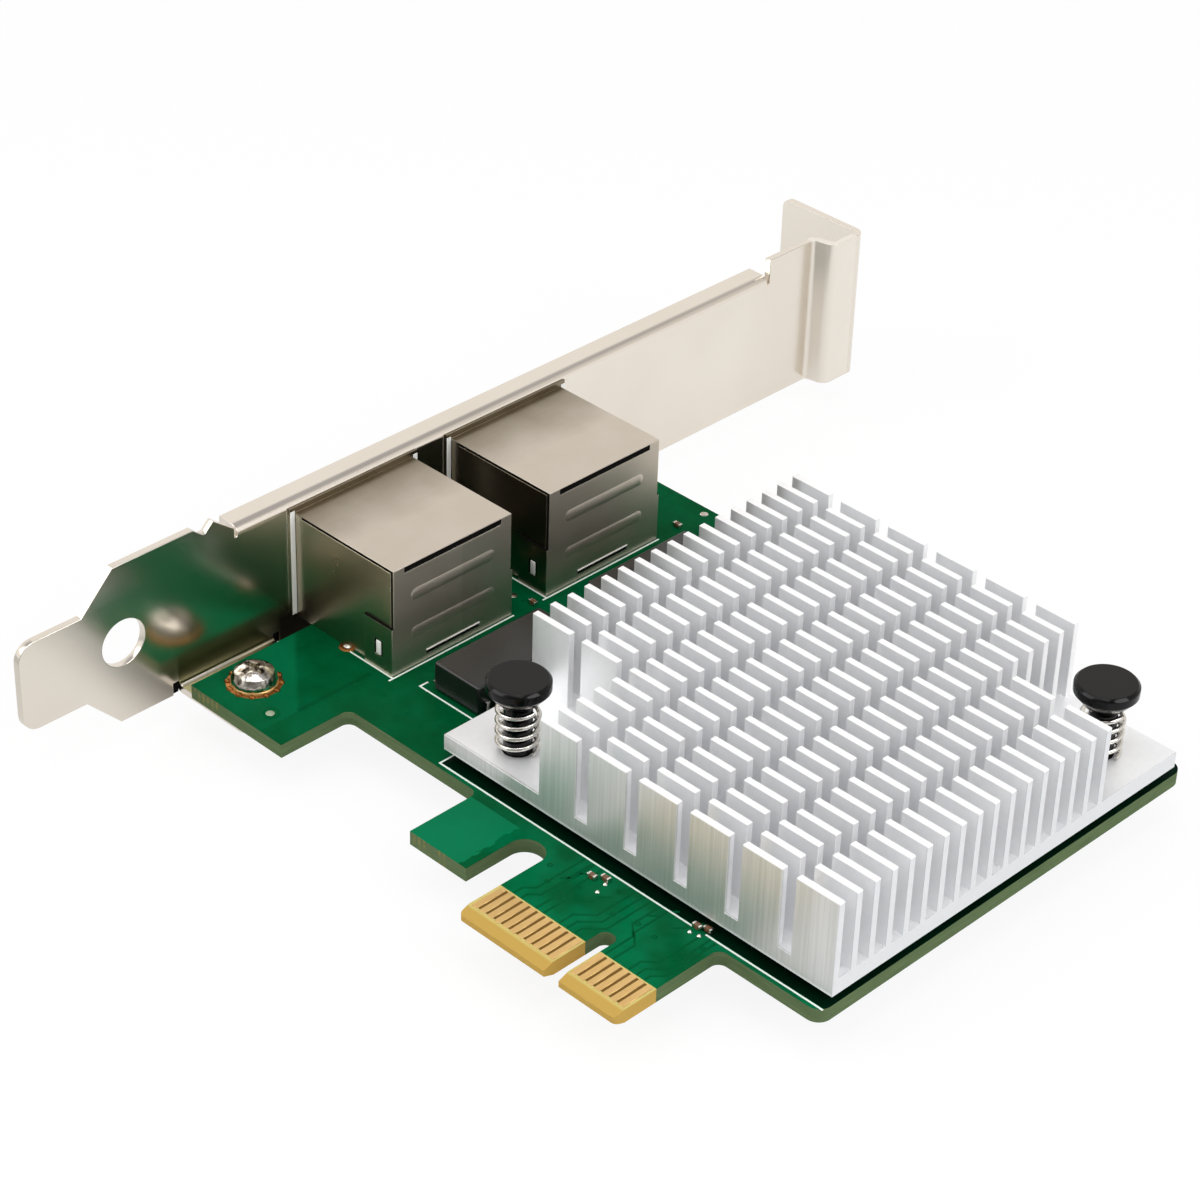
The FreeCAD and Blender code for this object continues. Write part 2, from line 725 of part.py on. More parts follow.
# Moulded housing with the stepped port, a rear chamber for the contacts and two pegs
def make_housing(name, start):
    body = piece("PartDesign::Body", name)
    place(body, y=start)
    wall = "dim.shield_wall"
    front = JACK_FRONT + " + dim.housing_setback"
    rear = "dim.jack_rear - " + wall
    top = "dim.jack_height - " + wall
    pad(body, "X", front, rear, box(wall, "dim.jack_width - " + wall, "0", top))
    port_end = front + " + dim.port_depth"

    def across(width):
        return JACK_MIDDLE + " - " + width + " / 2", JACK_MIDDLE + " + " + width + " / 2"

    wide = across("dim.port_width")
    latch = across("dim.port_latch_width")
    catch = across("dim.port_catch_width")
    port = [
        (wide[0], "dim.port_low"),
        (latch[0], "dim.port_low"),
        (latch[0], "dim.port_latch_low"),
        (catch[0], "dim.port_latch_low"),
        (catch[0], "dim.port_catch_low"),
        (catch[1], "dim.port_catch_low"),
        (catch[1], "dim.port_latch_low"),
        (latch[1], "dim.port_latch_low"),
        (latch[1], "dim.port_low"),
        (wide[1], "dim.port_low"),
        (wide[1], PORT_HIGH),
        (wide[0], PORT_HIGH),
    ]
    pocket(body, "X", front + " - " + MARGIN, port_end, port)
    below = "-" + MARGIN
    chamber_low = PORT_HIGH + " - dim.chamber_overlap"
    chamber_top = "dim.jack_height - dim.chamber_under_top"
    chamber = [
        (front + " + dim.chamber_front", chamber_low),
        (port_end + " + dim.chamber_wall", chamber_low),
        (port_end + " + dim.chamber_wall", below),
        (rear + " - dim.chamber_rear", below),
        (rear + " - dim.chamber_rear", chamber_top),
        (front + " + dim.chamber_front", chamber_top),
    ]
    sides = across("dim.chamber_width")
    pocket(body, "Y", sides[0], sides[1], chamber)
    near_peg = JACK_MIDDLE + " - dim.peg_spread"
    far_peg = JACK_MIDDLE + " + dim.peg_spread"
    pegs = [("dim.peg_x", near_peg, "dim.peg_radius"), ("dim.peg_x", far_peg, "dim.peg_radius")]
    pad(body, "Z", "-dim.peg_length", "0", *pegs)


# Eight bent contacts: tails through the board, over the port's end wall and back down
def make_contacts(name, start):
    body = piece("PartDesign::Body", name)
    place(body, y=start)
    half = "dim.wire / 2"
    turn = JACK_FRONT + " + dim.wire_turn"
    tip = turn + " + dim.wire_fall_run"
    level = "dim.jack_height - dim.wire_under_top"
    tip_level = level + " - dim.wire_fall"
    for k in range(ROWS):
        tail = "dim.wire_row_front + %d * dim.wire_row_pitch" % k
        strip = [
            (tail + " - " + half, "-dim.wire_tail"),
            (tail + " + " + half, "-dim.wire_tail"),
            (tail + " + " + half, level + " + " + half),
            (turn + " - " + half, level + " + " + half),
            (turn + " - " + half, level + " - " + half),
            (tip, tip_level + " - " + half),
            (tip, tip_level + " + " + half),
            (turn + " + 2 * dim.wire", level + " - " + half),
            (tail + " - " + half, level + " - " + half),
        ]
        middle = JACK_MIDDLE + " + (%s) * dim.wire_pitch" % (k - MIDDLE_WIRE)
        low = middle + " - dim.wire_width / 2"
        high = middle + " + dim.wire_width / 2"
        contact = pad(body, "Y", low, high, strip)
        row(body, [contact], "Y", "%d * dim.wire_pitch" % ROWS, str(WIRES // ROWS))


# Magnetics module and its gull-wing leads
def make_magnetics(name, leads_name, start):
    block = piece("Part::Box", name)
    block.setExpression("Length", "dim.module_right - dim.module_left")
    block.setExpression("Width", "dim.module_length")
    block.setExpression("Height", "dim.module_top - dim.module_low")
    place(block, "dim.module_left", start, "dim.module_low")
    body = piece("PartDesign::Body", leads_name)
    place(body, y=start)
    first = "(dim.module_length - (dim.lead_count - 1) * dim.lead_pitch - dim.lead_width) / 2"
    leads = []
    for side, root in ((-1, "dim.module_left"), (1, "dim.module_right")):
        knee = "%s + (%d) * dim.lead_knee" % (root, side)
        knee_in = "%s + (%d) * (dim.lead_knee - dim.lead_thickness)" % (root, side)
        foot = "%s + (%d) * dim.lead_foot" % (root, side)
        top = "dim.lead_level + dim.lead_thickness"
        lead = [
            (root, "dim.lead_level"),
            (knee_in, "dim.lead_level"),
            (knee_in, "0"),
            (foot, "0"),
            (foot, "dim.lead_thickness"),
            (knee, "dim.lead_thickness"),
            (knee, top),
            (root, top),
        ]
        leads.append(pad(body, "Y", first, first + " + dim.lead_width", lead))
    row(body, leads, "Y", "dim.lead_pitch", "dim.lead_count")


# Controller under the heat sink, with its thermal pad
def make_controller():
    middle_x = "dim.sink_left + dim.sink_length / 2"
    middle_y = "dim.sink_front + dim.sink_width / 2"
    layers = [
        ("controller_chip", "dim.chip_size", "0", "dim.chip_height"),
        ("thermal_pad", "dim.pad_size", "dim.chip_height", "dim.sink_low"),
    ]
    for name, size, low, high in layers:
        block = piece("Part::Box", name)
        block.setExpression("Length", size)
        block.setExpression("Width", size)
        block.setExpression("Height", "(%s) - (%s)" % (high, low))
        place(block, "%s - %s / 2" % (middle_x, size), "%s - %s / 2" % (middle_y, size), low)


# Extruded heat sink: fins along X, then cross cuts along Y and two milled corners
def make_sink():
    body = piece("PartDesign::Body", "heat_sink")
    top = SINK_TOP_OF_BASE
    fin_top = top + " + dim.fin_height"
    pad(body, "Z", "dim.sink_low", top, box("dim.sink_left", SINK_RIGHT, "dim.sink_front", SINK_FAR))
    first_fin = box("dim.sink_left", SINK_RIGHT, "dim.sink_front", "dim.sink_front + dim.fin_thickness")
    fin = pad(body, "Z", top, fin_top, first_fin)
    row(body, [fin], "Y", FIN_PITCH, "dim.fin_count")
    centre = "dim.sink_left + dim.sink_length / 2"
    first = centre + " - dim.cross_cut_pitch * (dim.cross_cut_count - 1) / 2"
    left = first + " - dim.cross_cut_width / 2"
    right = first + " + dim.cross_cut_width / 2"
    over = fin_top + " + " + MARGIN
    before = "dim.sink_front - " + MARGIN
    beyond = SINK_FAR + " + " + MARGIN
    cut = pocket(body, "Z", top, over, box(left, right, before, beyond))
    row(body, [cut], "X", "dim.cross_cut_pitch", "dim.cross_cut_count")
    step = "(dim.corner_cut_segments - 1) * dim.cross_cut_pitch + dim.cross_cut_width / 2"
    reach = "dim.corner_cut_fins * %s - (%s - dim.fin_thickness) / 2" % (FIN_PITCH, FIN_PITCH)
    last = centre + " + dim.cross_cut_pitch * (dim.cross_cut_count - 1) / 2"
    outside = "dim.sink_left - " + MARGIN
    past = SINK_RIGHT + " + " + MARGIN
    near = box(outside, first + " + " + step, before, "dim.sink_front + " + reach)
    far = box(last + " - (" + step + ")", past, SINK_FAR + " - (" + reach + ")", beyond)
    pocket(body, "Z", top, over, near, far)
    pin = "dim.pin_radius + dim.pin_clearance"
    pins = [(PIN_X[side], PIN_Y[side], pin) for side in ("left", "right")]
    pocket(body, "Z", "dim.sink_low - " + MARGIN, top + " + " + MARGIN, *pins)


# Push pin with a split barbed tip, turned about its own axis
def make_pin(name, x, y):
    body = piece("PartDesign::Body", name)
    place(body, x, y)
    shoulder = BOARD_LOW + " - dim.barb_gap"
    profile = [
        ("0", "-dim.pin_tip"),
        ("dim.pin_tip_radius", "-dim.pin_tip"),
        ("dim.barb_radius", shoulder + " - dim.barb_rim"),
        ("dim.barb_radius", shoulder),
        ("dim.pin_radius", shoulder),
        ("dim.pin_radius", "dim.pin_neck"),
        ("dim.pin_seat_radius", "dim.pin_seat"),
        ("dim.pin_head_radius", "dim.pin_top - dim.pin_head_rim"),
        ("dim.pin_head_radius", "dim.pin_top - dim.pin_crown"),
        ("dim.pin_head_radius - dim.pin_crown", "dim.pin_top"),
        ("0", "dim.pin_top"),
    ]
    turned(body, profile)
    below = "-dim.pin_tip - " + MARGIN
    slit = box("-dim.pin_slit / 2", "dim.pin_slit / 2", below, "-dim.pin_slit_end")
    pocket(body, "Y", "-dim.barb_radius - " + MARGIN, "dim.barb_radius + " + MARGIN, slit)


# Compression spring between the heat sink's base and the pin's head
def make_spring(name, x, y):
    height = "dim.spring_top - (%s) - 2 * dim.spring_wire" % SINK_TOP_OF_BASE
    helix = doc.addObject("Part::Helix", name + "_path")
    helix.setExpression("Radius", "dim.spring_radius")
    helix.setExpression("Height", height)
    helix.setExpression("Pitch", "(%s) / dim.spring_turns" % height)
    section = doc.addObject("Part::RegularPolygon", name + "_section")
    section.setExpression("Polygon", "dim.spring_wire_sides")
    section.setExpression("Circumradius", "dim.spring_wire")
    upright = FreeCAD.Rotation(FreeCAD.Vector(1, 0, 0), 90)
    section.Placement = FreeCAD.Placement(FreeCAD.Vector(), upright)
    section.setExpression("Placement.Base.x", "dim.spring_radius")
    doc.recompute()
    coil = piece("Part::Sweep", name)
    coil.Sections = [section]
    coil.Spine = (helix, ["Edge%d" % k for k in range(1, len(helix.Shape.Edges) + 1)])
    coil.Solid = True
    coil.Frenet = True
    place(coil, x, y, "%s + dim.spring_wire" % SINK_TOP_OF_BASE)


# Chip capacitors: ceramic bodies and their metal ends
def make_capacitors():
    bodies = piece("PartDesign::Body", "capacitor_bodies")
    ends = piece("PartDesign::Body", "capacitor_ends")
    blocks = []
    caps = []
    for letter in "abcd":
        x = "dim.cap_%s_x" % letter
        y = "dim.cap_%s_y" % letter
        near = y + " - dim.cap_width / 2"
        far = y + " + dim.cap_width / 2"
        left = x + " - dim.cap_length / 2"
        right = x + " + dim.cap_length / 2"
        blocks.append(box(left + " + dim.cap_end", right + " - dim.cap_end", near, far))
        caps.append(box(left, left + " + dim.cap_end", near, far))
        caps.append(box(right + " - dim.cap_end", right, near, far))
    pad(bodies, "Z", "0", "dim.cap_height", *blocks)
    pad(ends, "Z", "0", "dim.cap_height", *caps)


make_board()
make_fingers("contacts_component_side", "0", "dim.finger_thickness")
make_fingers("contacts_solder_side", BOARD_LOW + " - dim.finger_thickness", BOARD_LOW)
make_bracket()
make_screws()
for side in ("near", "far"):
    jack_start = "dim.jack_%s_y" % side
    make_shield("jack_shield_" + side, jack_start)
    make_housing("jack_housing_" + side, jack_start)
    make_contacts("jack_contacts_" + side, jack_start)
    make_magnetics("magnetics_" + side, "magnetics_leads_" + side, "dim.module_%s_y" % side)
make_controller()
make_sink()
for side in ("left", "right"):
    make_pin("push_pin_" + side, PIN_X[side], PIN_Y[side])
    make_spring("pin_spring_" + side, PIN_X[side], PIN_Y[side])
make_capacitors()
doc.recompute()

# Every object has to be sound before anything is written
for item in doc.Objects:
    if "Invalid" in item.State or "Error" in item.State:
        raise RuntimeError("%s failed: %s" % (item.Label, item.State))
for item in pieces:
    if item.Shape.isNull() or not item.Shape.isValid() or not item.Shape.Solids:
        raise RuntimeError("%s has no sound shape" % item.Label)

os.makedirs("parts", exist_ok=True)
for item in pieces:
    item.Shape.exportStep("parts/%s.step" % item.Label)
    bounds = item.Shape.BoundBox
    span = (bounds.XMin, bounds.XMax, bounds.YMin, bounds.YMax, bounds.ZMin, bounds.ZMax)
    text = " ".join("%.2f" % value for value in span)
    print(item.Label, len(item.Shape.Solids), "solids", "%.1f mm3" % item.Shape.Volume, text)
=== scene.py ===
# %% [markdown]
# # A network card, dressed for its picture
# The frame holds every solid of the card at its real size: the board, the folded bracket,
# two shielded sockets, the heat sink and its sprung pins. This lesson gives them their
# finishes, rounds the edges that catch the light, and adds what is too fine for the frame,
# such as the printed lines, the copper tracks and the solder.

# %% Load the frame
import math

import bmesh
import bpy
from mathutils import Matrix, Vector


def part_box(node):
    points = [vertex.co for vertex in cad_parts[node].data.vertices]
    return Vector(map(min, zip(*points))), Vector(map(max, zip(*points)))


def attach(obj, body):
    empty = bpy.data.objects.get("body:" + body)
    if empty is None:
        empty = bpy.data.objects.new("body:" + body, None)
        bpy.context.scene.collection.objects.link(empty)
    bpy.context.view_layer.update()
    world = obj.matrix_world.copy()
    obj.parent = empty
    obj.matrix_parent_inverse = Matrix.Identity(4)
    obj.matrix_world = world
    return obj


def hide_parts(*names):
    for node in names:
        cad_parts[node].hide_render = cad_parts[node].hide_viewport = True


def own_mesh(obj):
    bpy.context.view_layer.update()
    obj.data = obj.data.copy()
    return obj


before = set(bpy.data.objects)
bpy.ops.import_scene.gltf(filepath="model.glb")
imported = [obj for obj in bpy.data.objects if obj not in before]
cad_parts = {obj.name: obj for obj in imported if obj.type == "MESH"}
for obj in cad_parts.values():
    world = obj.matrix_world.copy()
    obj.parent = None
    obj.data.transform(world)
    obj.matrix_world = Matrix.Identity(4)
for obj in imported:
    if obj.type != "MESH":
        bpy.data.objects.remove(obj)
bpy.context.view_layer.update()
MM = 0.001
CARD = "card"
SIDES = ("near", "far")

# %% [markdown]
# ## Camera
# The camera stands where the picture was taken: it looks down on the card over the edge
# connector, from the free end towards the bracket. Its place was worked out from sizes
# that are known, such as the one millimetre pitch of the contacts. A long lens keeps the
# far edges nearly parallel.

# %% Camera
AZIMUTH = math.radians(43.908)
ELEVATION = math.radians(33.797)
ROLL = math.radians(1.956)
FOCAL_PIXELS = 3338.06
PICTURE = 1200
SENSOR = 36.0
EYE = Vector((162.83, -164.46, 195.45)) * MM

look = Vector((
    -math.sin(AZIMUTH) * math.cos(ELEVATION),
    math.cos(AZIMUTH) * math.cos(ELEVATION),
    -math.sin(ELEVATION),
))
level = Vector((math.cos(AZIMUTH), math.sin(AZIMUTH), 0.0))
upright = level.cross(look)
right = level * math.cos(ROLL) + upright * math.sin(ROLL)
above = upright * math.cos(ROLL) - level * math.sin(ROLL)

scene = bpy.context.scene
camera_data = bpy.data.cameras.new("camera")
camera_data.sensor_width = SENSOR
camera_data.lens = SENSOR * FOCAL_PIXELS / PICTURE
camera_data.clip_start = 0.005
camera = bpy.data.objects.new("camera", camera_data)
camera.matrix_world = Matrix.Translation(EYE) @ Matrix((right, above, -look)).transposed().to_4x4()
scene.collection.objects.link(camera)
scene.camera = camera
scene.view_settings.view_transform = "Standard"
print("camera lens", round(camera_data.lens, 2), "mm")

# %% [markdown]
# ## Shader sums as Python
# A finish is a small sum: a base colour, plus a little noise, times a mask. Wrapping a
# socket in a class lets the sum be written as one, and Blender's Math nodes follow from
# it. One method makes every other kind of node.


# %% A socket that takes part in sums
class Field:
    """One output socket, with the arithmetic of the Math node."""

    def __init__(self, graph, socket):
        self.graph = graph
        self.socket = socket

    def __add__(self, other):
        return self.graph.math("ADD", self, other)

    def __sub__(self, other):
        return self.graph.math("SUBTRACT", self, other)

    def __rsub__(self, other):
        return self.graph.math("SUBTRACT", other, self)

    def __mul__(self, other):
        return self.graph.math("MULTIPLY", self, other)

    def __gt__(self, other):
        return self.graph.math("GREATER_THAN", self, other)

    def __lt__(self, other):
        return self.graph.math("LESS_THAN", self, other)

    __radd__ = __add__
    __rmul__ = __mul__


class Graph:
    """The nodes of a material or of the world."""

    def __init__(self, owner):
        owner.use_nodes = True
        self.tree = owner.node_tree

    def feed(self, socket, value):
        if isinstance(value, Field):
            self.tree.links.new(value.socket, socket)
        elif socket.type == "RGBA" and len(value) == 3:
            socket.default_value = (*value, 1.0)
        else:
            socket.default_value = value

    def add(self, kind, settings=None, sockets=(), output=0):
        """Node with its settings first, then values or links; returns one or more outputs."""
        node = self.tree.nodes.new(kind)
        for name, value in (settings or {}).items():
            if name == "stops":
                elements = node.color_ramp.elements
                for k, (place, colour) in enumerate(value):
                    stop = elements[k] if k < 2 else elements.new(place)
                    stop.position = place
                    stop.color = (*colour, 1.0)
            else:
                setattr(node, name, value)
        pairs = sockets.items() if isinstance(sockets, dict) else enumerate(sockets)
        for name, value in pairs:
            self.feed(node.inputs[name], value)
        if output is None:
            return None
        if isinstance(output, tuple):
            return [Field(self, node.outputs[k]) for k in output]
        return Field(self, node.outputs[output])

    def math(self, operation, *values):
        return self.add("ShaderNodeMath", {"operation": operation}, values)

    def mix(self, factor, first, second):
        return self.add("ShaderNodeMix", {"data_type": "RGBA"}, {0: factor, 6: first, 7: second}, 2)

    def span(self, field, low, high, to_low=0.0, to_high=1.0):
        """Field rescaled from one span to another, held at the ends."""
        return self.add("ShaderNodeMapRange", {}, (field, low, high, to_low, to_high))


class Finish(Graph):
    """A Principled material whose patterns are measured in millimetres."""

    def __init__(self, name, **sockets):
        self.material = bpy.data.materials.new(name)
        super().__init__(self.material)
        self.shader = self.tree.nodes["Principled BSDF"]
        where = self.add("ShaderNodeTexCoord", output="Object")
        self.spot = self.add("ShaderNodeMapping", {}, {"Vector": where, "Scale": (1000, 1000, 1000)})
        self.x, self.y, self.z = self.add("ShaderNodeSeparateXYZ", {}, (self.spot,), (0, 1, 2))
        self.set(**sockets)

    def set(self, **sockets):
        for name, value in sockets.items():
            self.feed(self.shader.inputs[name.replace("_", " ")], value)

    def noise(self, scale, stretch=(1, 1, 1), detail=3.0):
        """Cloudy values, with a number of cells per millimetre and a stretch along each axis."""
        spot = self.add("ShaderNodeMapping", {}, {"Vector": self.spot, "Scale": stretch})
        return self.add("ShaderNodeTexNoise", {}, {"Vector": spot, "Scale": scale, "Detail": detail})

    def inside(self, field, low, high):
        return (field > low) * (field < high)

    def bump(self, height, depth, strength=1.0):
        """Relief of a height field, with its depth in millimetres."""
        sockets = {"Height": height, "Distance": depth * MM, "Strength": strength}
        return self.add("ShaderNodeBump", {}, sockets)


def linear(red, green, blue):
    """Colour as a screen shows it, turned into the linear light that a shader wants."""
    return tuple(
        c / 255 / 12.92 if c <= 10.3 else ((c / 255 + 0.055) / 1.055) ** 2.4
        for c in (red, green, blue)
    )


print("lacquer green in linear light", [round(c, 3) for c in linear(3, 92, 50)])

# %% [markdown]
# ## Studio
# The card lies on a white sweep under broad, soft lamps. Plated sheet is nearly a mirror,
# so it shows the room more than the lamps: warm grey walls, a darker ceiling, and a floor
# that is white to the camera but falls off to brown in front of the card, as a table edge
# does. Under the card a painted shadow darkens the floor's glow. The Light Path node tells
# those rays apart.

# %% World
REST_LEVEL = -6.2

world = bpy.data.worlds.new("studio")
scene.world = world
sky = Graph(world)
for node in list(sky.tree.nodes):
    sky.tree.nodes.remove(node)
seen, mirrored = sky.add("ShaderNodeLightPath", output=("Is Camera Ray", "Is Glossy Ray"))
heading = sky.add("ShaderNodeTexCoord", output="Generated")
east, north, rise = sky.add("ShaderNodeSeparateXYZ", {}, (heading,), (0, 1, 2))
walls = sky.add("ShaderNodeValToRGB", {"stops": (
    (0.0, (1.0, 0.98, 0.95)), (1.0, (0.42, 0.42, 0.44)), (0.3, (1.0, 0.97, 0.93)),
    (0.62, (1.0, 0.965, 0.92)), (0.78, (0.46, 0.45, 0.45)),
)}, (rise,))
behind = sky.span(east + north, 0.6, 1.1) * sky.span(rise, 0.25, 0.4)
walls = sky.mix(behind * 0.35, walls, (0.30, 0.27, 0.24))
operator = sky.span(east - north, 0.75, 1.0) * sky.span(rise, 0.95, 0.8)
walls = sky.mix(operator * 0.8, walls, (0.06, 0.055, 0.05))
soft = sky.add("ShaderNodeBackground", {}, ((1.0, 1.0, 1.0), 0.48))
room = sky.add("ShaderNodeBackground", {}, (walls, 1.0))
white = sky.add("ShaderNodeBackground", {}, ((1.0, 1.0, 1.0), 1.0))
lit = sky.add("ShaderNodeMixShader", {}, (mirrored, soft, room))
view = sky.add("ShaderNodeMixShader", {}, (seen, lit, white))
sky.add("ShaderNodeOutputWorld", {}, (view,), None)
print("world nodes:", len(sky.tree.nodes))

# %% Floor
bm = bmesh.new()
bmesh.ops.create_grid(bm, x_segments=1, y_segments=1, size=1.5)
bmesh.ops.translate(bm, verts=bm.verts, vec=(0, 0, REST_LEVEL * MM))
floor_mesh = bpy.data.meshes.new("floor")
bm.to_mesh(floor_mesh)
bm.free()
floor = bpy.data.objects.new("floor", floor_mesh)
scene.collection.objects.link(floor)

paper = Finish("white_paper", Base_Color=(0.9, 0.9, 0.9), Roughness=0.9, Specular_IOR_Level=0.1)
rays = ("Is Camera Ray", "Is Glossy Ray", "Is Transmission Ray")
seen, mirrored, through = paper.add("ShaderNodeLightPath", output=rays)
falls_off = paper.span(paper.y, -45.0, 12.0)
sweep = paper.mix(falls_off, (0.20, 0.165, 0.13), (1.0, 0.98, 0.95))
# painted shadow: the floor's glow is darkened under the card
painted_floor_shadow = paper.inside(paper.x, -57.0, 20.5) * paper.span(paper.y, 2.0, 9.0) * (paper.y < 67.5)
sweep = paper.mix(painted_floor_shadow * 0.9, sweep, (0.02, 0.02, 0.012))
plain = paper.add("ShaderNodeEmission", {}, ((1.0, 1.0, 1.0), 1.0))
table = paper.add("ShaderNodeEmission", {}, (sweep, 1.0))
glow = paper.add("ShaderNodeMixShader", {}, (mirrored, plain, table))
share = paper.math("MAXIMUM", seen, through) * 0.9 + mirrored * 0.5
surface = Field(paper, paper.shader.outputs[0])
blend = paper.add("ShaderNodeMixShader", {}, (share, surface, glow))
paper.feed(paper.tree.nodes["Material Output"].inputs[0], blend)
floor_mesh.materials.append(paper.material)
print("floor at", REST_LEVEL, "mm")

# %% Lamps
MIDDLE = Vector((-15, 40, 5)) * MM


def lamp(name, azimuth, elevation, distance, size, power):
    """Square soft box that faces the middle of the card."""
    data = bpy.data.lights.new(name, "AREA")
    data.size = size
    data.energy = power
    item = bpy.data.objects.new(name, data)
    a, e = math.radians(azimuth), math.radians(elevation)
    away = Vector((math.sin(a) * math.cos(e), -math.cos(a) * math.cos(e), math.sin(e)))
    turn = away.to_track_quat("Z", "Y").to_matrix().to_4x4()
    item.matrix_world = Matrix.Translation(MIDDLE + away * distance) @ turn
    scene.collection.objects.link(item)


lamp("overhead", 20, 78, 0.55, 0.45, 1.1)
lamp("front_left", -35, 40, 0.6, 0.35, 1.0)
lamp("right_side", 100, 38, 0.6, 0.35, 1.55)
lamp("sparkle", 40, 72, 0.6, 0.035, 0.16)
print("three soft lamps and a small one that draws sharp highlights")

# %% [markdown]
# ## Making pieces
# Every solid in the frame has knife edges, and no real edge is one. A copy of the solid is
# merged, its flat facets are joined, and its sharp edges get a narrow bevel that draws the
# bright line seen on real parts. Weighted normals keep the broad faces flat. New pieces
# start from a box, a strip or a turned profile, written in millimetres.


# %% Helpers for pieces
def shade(obj, angle=38.0):
    """Smooth across bevels, crisp across real corners, flat faces kept flat."""
    obj.data.polygons.foreach_set("use_smooth", [True] * len(obj.data.polygons))
    obj.data.set_sharp_from_angle(angle=math.radians(angle))
    weighted = obj.modifiers.new("flat_faces", "WEIGHTED_NORMAL")
    weighted.keep_sharp = True


def piece(name, bm, finish, body=CARD, angle=38.0):
    """Object from a bmesh in metres, with its finish, riding on a body."""
    bm.normal_update()
    mesh = bpy.data.meshes.new(name)
    bm.to_mesh(mesh)
    bm.free()
    obj = bpy.data.objects.new(name, mesh)
    scene.collection.objects.link(obj)
    mesh.materials.append(finish.material)
    shade(obj, angle)
    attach(obj, body)
    return obj


def made(name, bm, finish, body=CARD, angle=38.0):
    """Piece modelled in millimetres, brought to metres."""
    bmesh.ops.scale(bm, verts=bm.verts, vec=(MM, MM, MM))
    obj = piece(name, bm, finish, body, angle)
    print(name, "made:", len(obj.data.polygons), "faces")
    return obj


def solid_of(node):
    """Merged copy of a node's mesh, with its flat facets joined."""
    bm = bmesh.new()
    bm.from_mesh(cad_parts[node].data)
    bmesh.ops.remove_doubles(bm, verts=bm.verts, dist=0.0005 * MM)
    flat = math.radians(0.6)
    bmesh.ops.dissolve_limit(bm, angle_limit=flat, verts=bm.verts, edges=bm.edges)
    return bm


def round_off(bm, width, segments=2, angle=30.0, chosen=None):
    """Bevel every edge that turns more than an angle, or only the chosen ones."""
    least = math.radians(angle)
    sharp = [e for e in bm.edges if len(e.link_faces) == 2 and e.calc_face_angle(0.0) > least]
    if chosen:
        sharp = [e for e in sharp if chosen(e)]
    bmesh.ops.bevel(
        bm, geom=sharp, offset=width, offset_type="OFFSET", segments=segments,
        profile=0.5, affect="EDGES", clamp_overlap=True, material=-1,
    )


def dressed(node, finish, width, body=CARD, segments=2):
    """A node's solid with rounded edges and a finish, in the node's place."""
    bm = solid_of(node)
    round_off(bm, width * MM, segments)
    obj = piece(node + "_dressed", bm, finish, body)
    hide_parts(node)
    print(node, "dressed:", len(obj.data.polygons), "faces")
    return obj


def block(bm, low, high):
    """Box between two corners."""
    low, high = Vector(low), Vector(high)
    matrix = Matrix.Translation((low + high) / 2) @ Matrix.Diagonal((*(high - low), 1.0))
    bmesh.ops.create_cube(bm, size=1.0, matrix=matrix)


def strip(bm, points, width, top):
    """Flat band along a line of points, square at its ends and sunk a little into the board."""
    low = -0.01
    for k, (start, end) in enumerate(zip(points, points[1:])):
        top += 0.002 if k % 2 else -0.002
        run = Vector((end[0] - start[0], end[1] - start[1], 0.0))
        middle = Vector(((start[0] + end[0]) / 2, (start[1] + end[1]) / 2, (low + top) / 2))
        turn = Matrix.Rotation(math.atan2(run.y, run.x), 4, "Z")
        size = Matrix.Diagonal((run.length + width, width, top - low, 1.0))
        bmesh.ops.create_cube(bm, size=1.0, matrix=Matrix.Translation(middle) @ turn @ size)


def turned(bm, profile, centre, steps=48):
    """Solid turned from (radius, height) pairs about an upright axis."""
    earlier = set(bm.verts)
    spots = [bm.verts.new((centre[0] + radius, centre[1], height)) for radius, height in profile]
    lines = [bm.edges.new(pair) for pair in zip(spots, spots[1:])]
    if profile[0][0] > 0:
        lines.append(bm.edges.new((spots[-1], spots[0])))
    bmesh.ops.spin(
        bm, geom=spots + lines, cent=(centre[0], centre[1], 0), axis=(0, 0, 1),
        angle=2 * math.pi, steps=steps, use_merge=True,
    )
    fresh = [v for v in bm.verts if v not in earlier]
    bmesh.ops.remove_doubles(bm, verts=fresh, dist=0.0001)
    faces = {f for v in fresh if v.is_valid for f in v.link_faces}
    bmesh.ops.recalc_face_normals(bm, faces=list(faces))


def span_of(node):
    """Two corners of a node's box in millimetres."""
    low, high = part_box(node)
    return Vector(low) / MM, Vector(high) / MM


print("helpers ready")

# %% [markdown]
# ## Sheet metal
# The bracket is nickel plated steel with a satin face: nearly a mirror, but each
# reflection is soft and slightly warm. The socket shields are thinner, smoother and a
# little browner; their colour comes in lit and shaded copies, which are painted light.
# Fine lines run along the bracket where the sheet was rolled. A painted reflection darkens
# it beside the foot, and painted shade where the foot ends. A bump of a few microns, far
# below what could be modelled, breaks the reflections up.

# %% Sheet metal finishes
bracket_nickel = Finish("bracket_nickel")
rolled = bracket_nickel.noise(1.0, (2.6, 0.06, 2.6), 4.0)
cloud = bracket_nickel.noise(0.06, detail=2.0)
x, y, z = bracket_nickel.x, bracket_nickel.y, bracket_nickel.z
FOOT_START, SOCKET_START = 5.0, 20.6
JOG = (99.4, 104.4)
plated = bracket_nickel.mix(cloud, linear(222, 214, 203), linear(236, 230, 221))
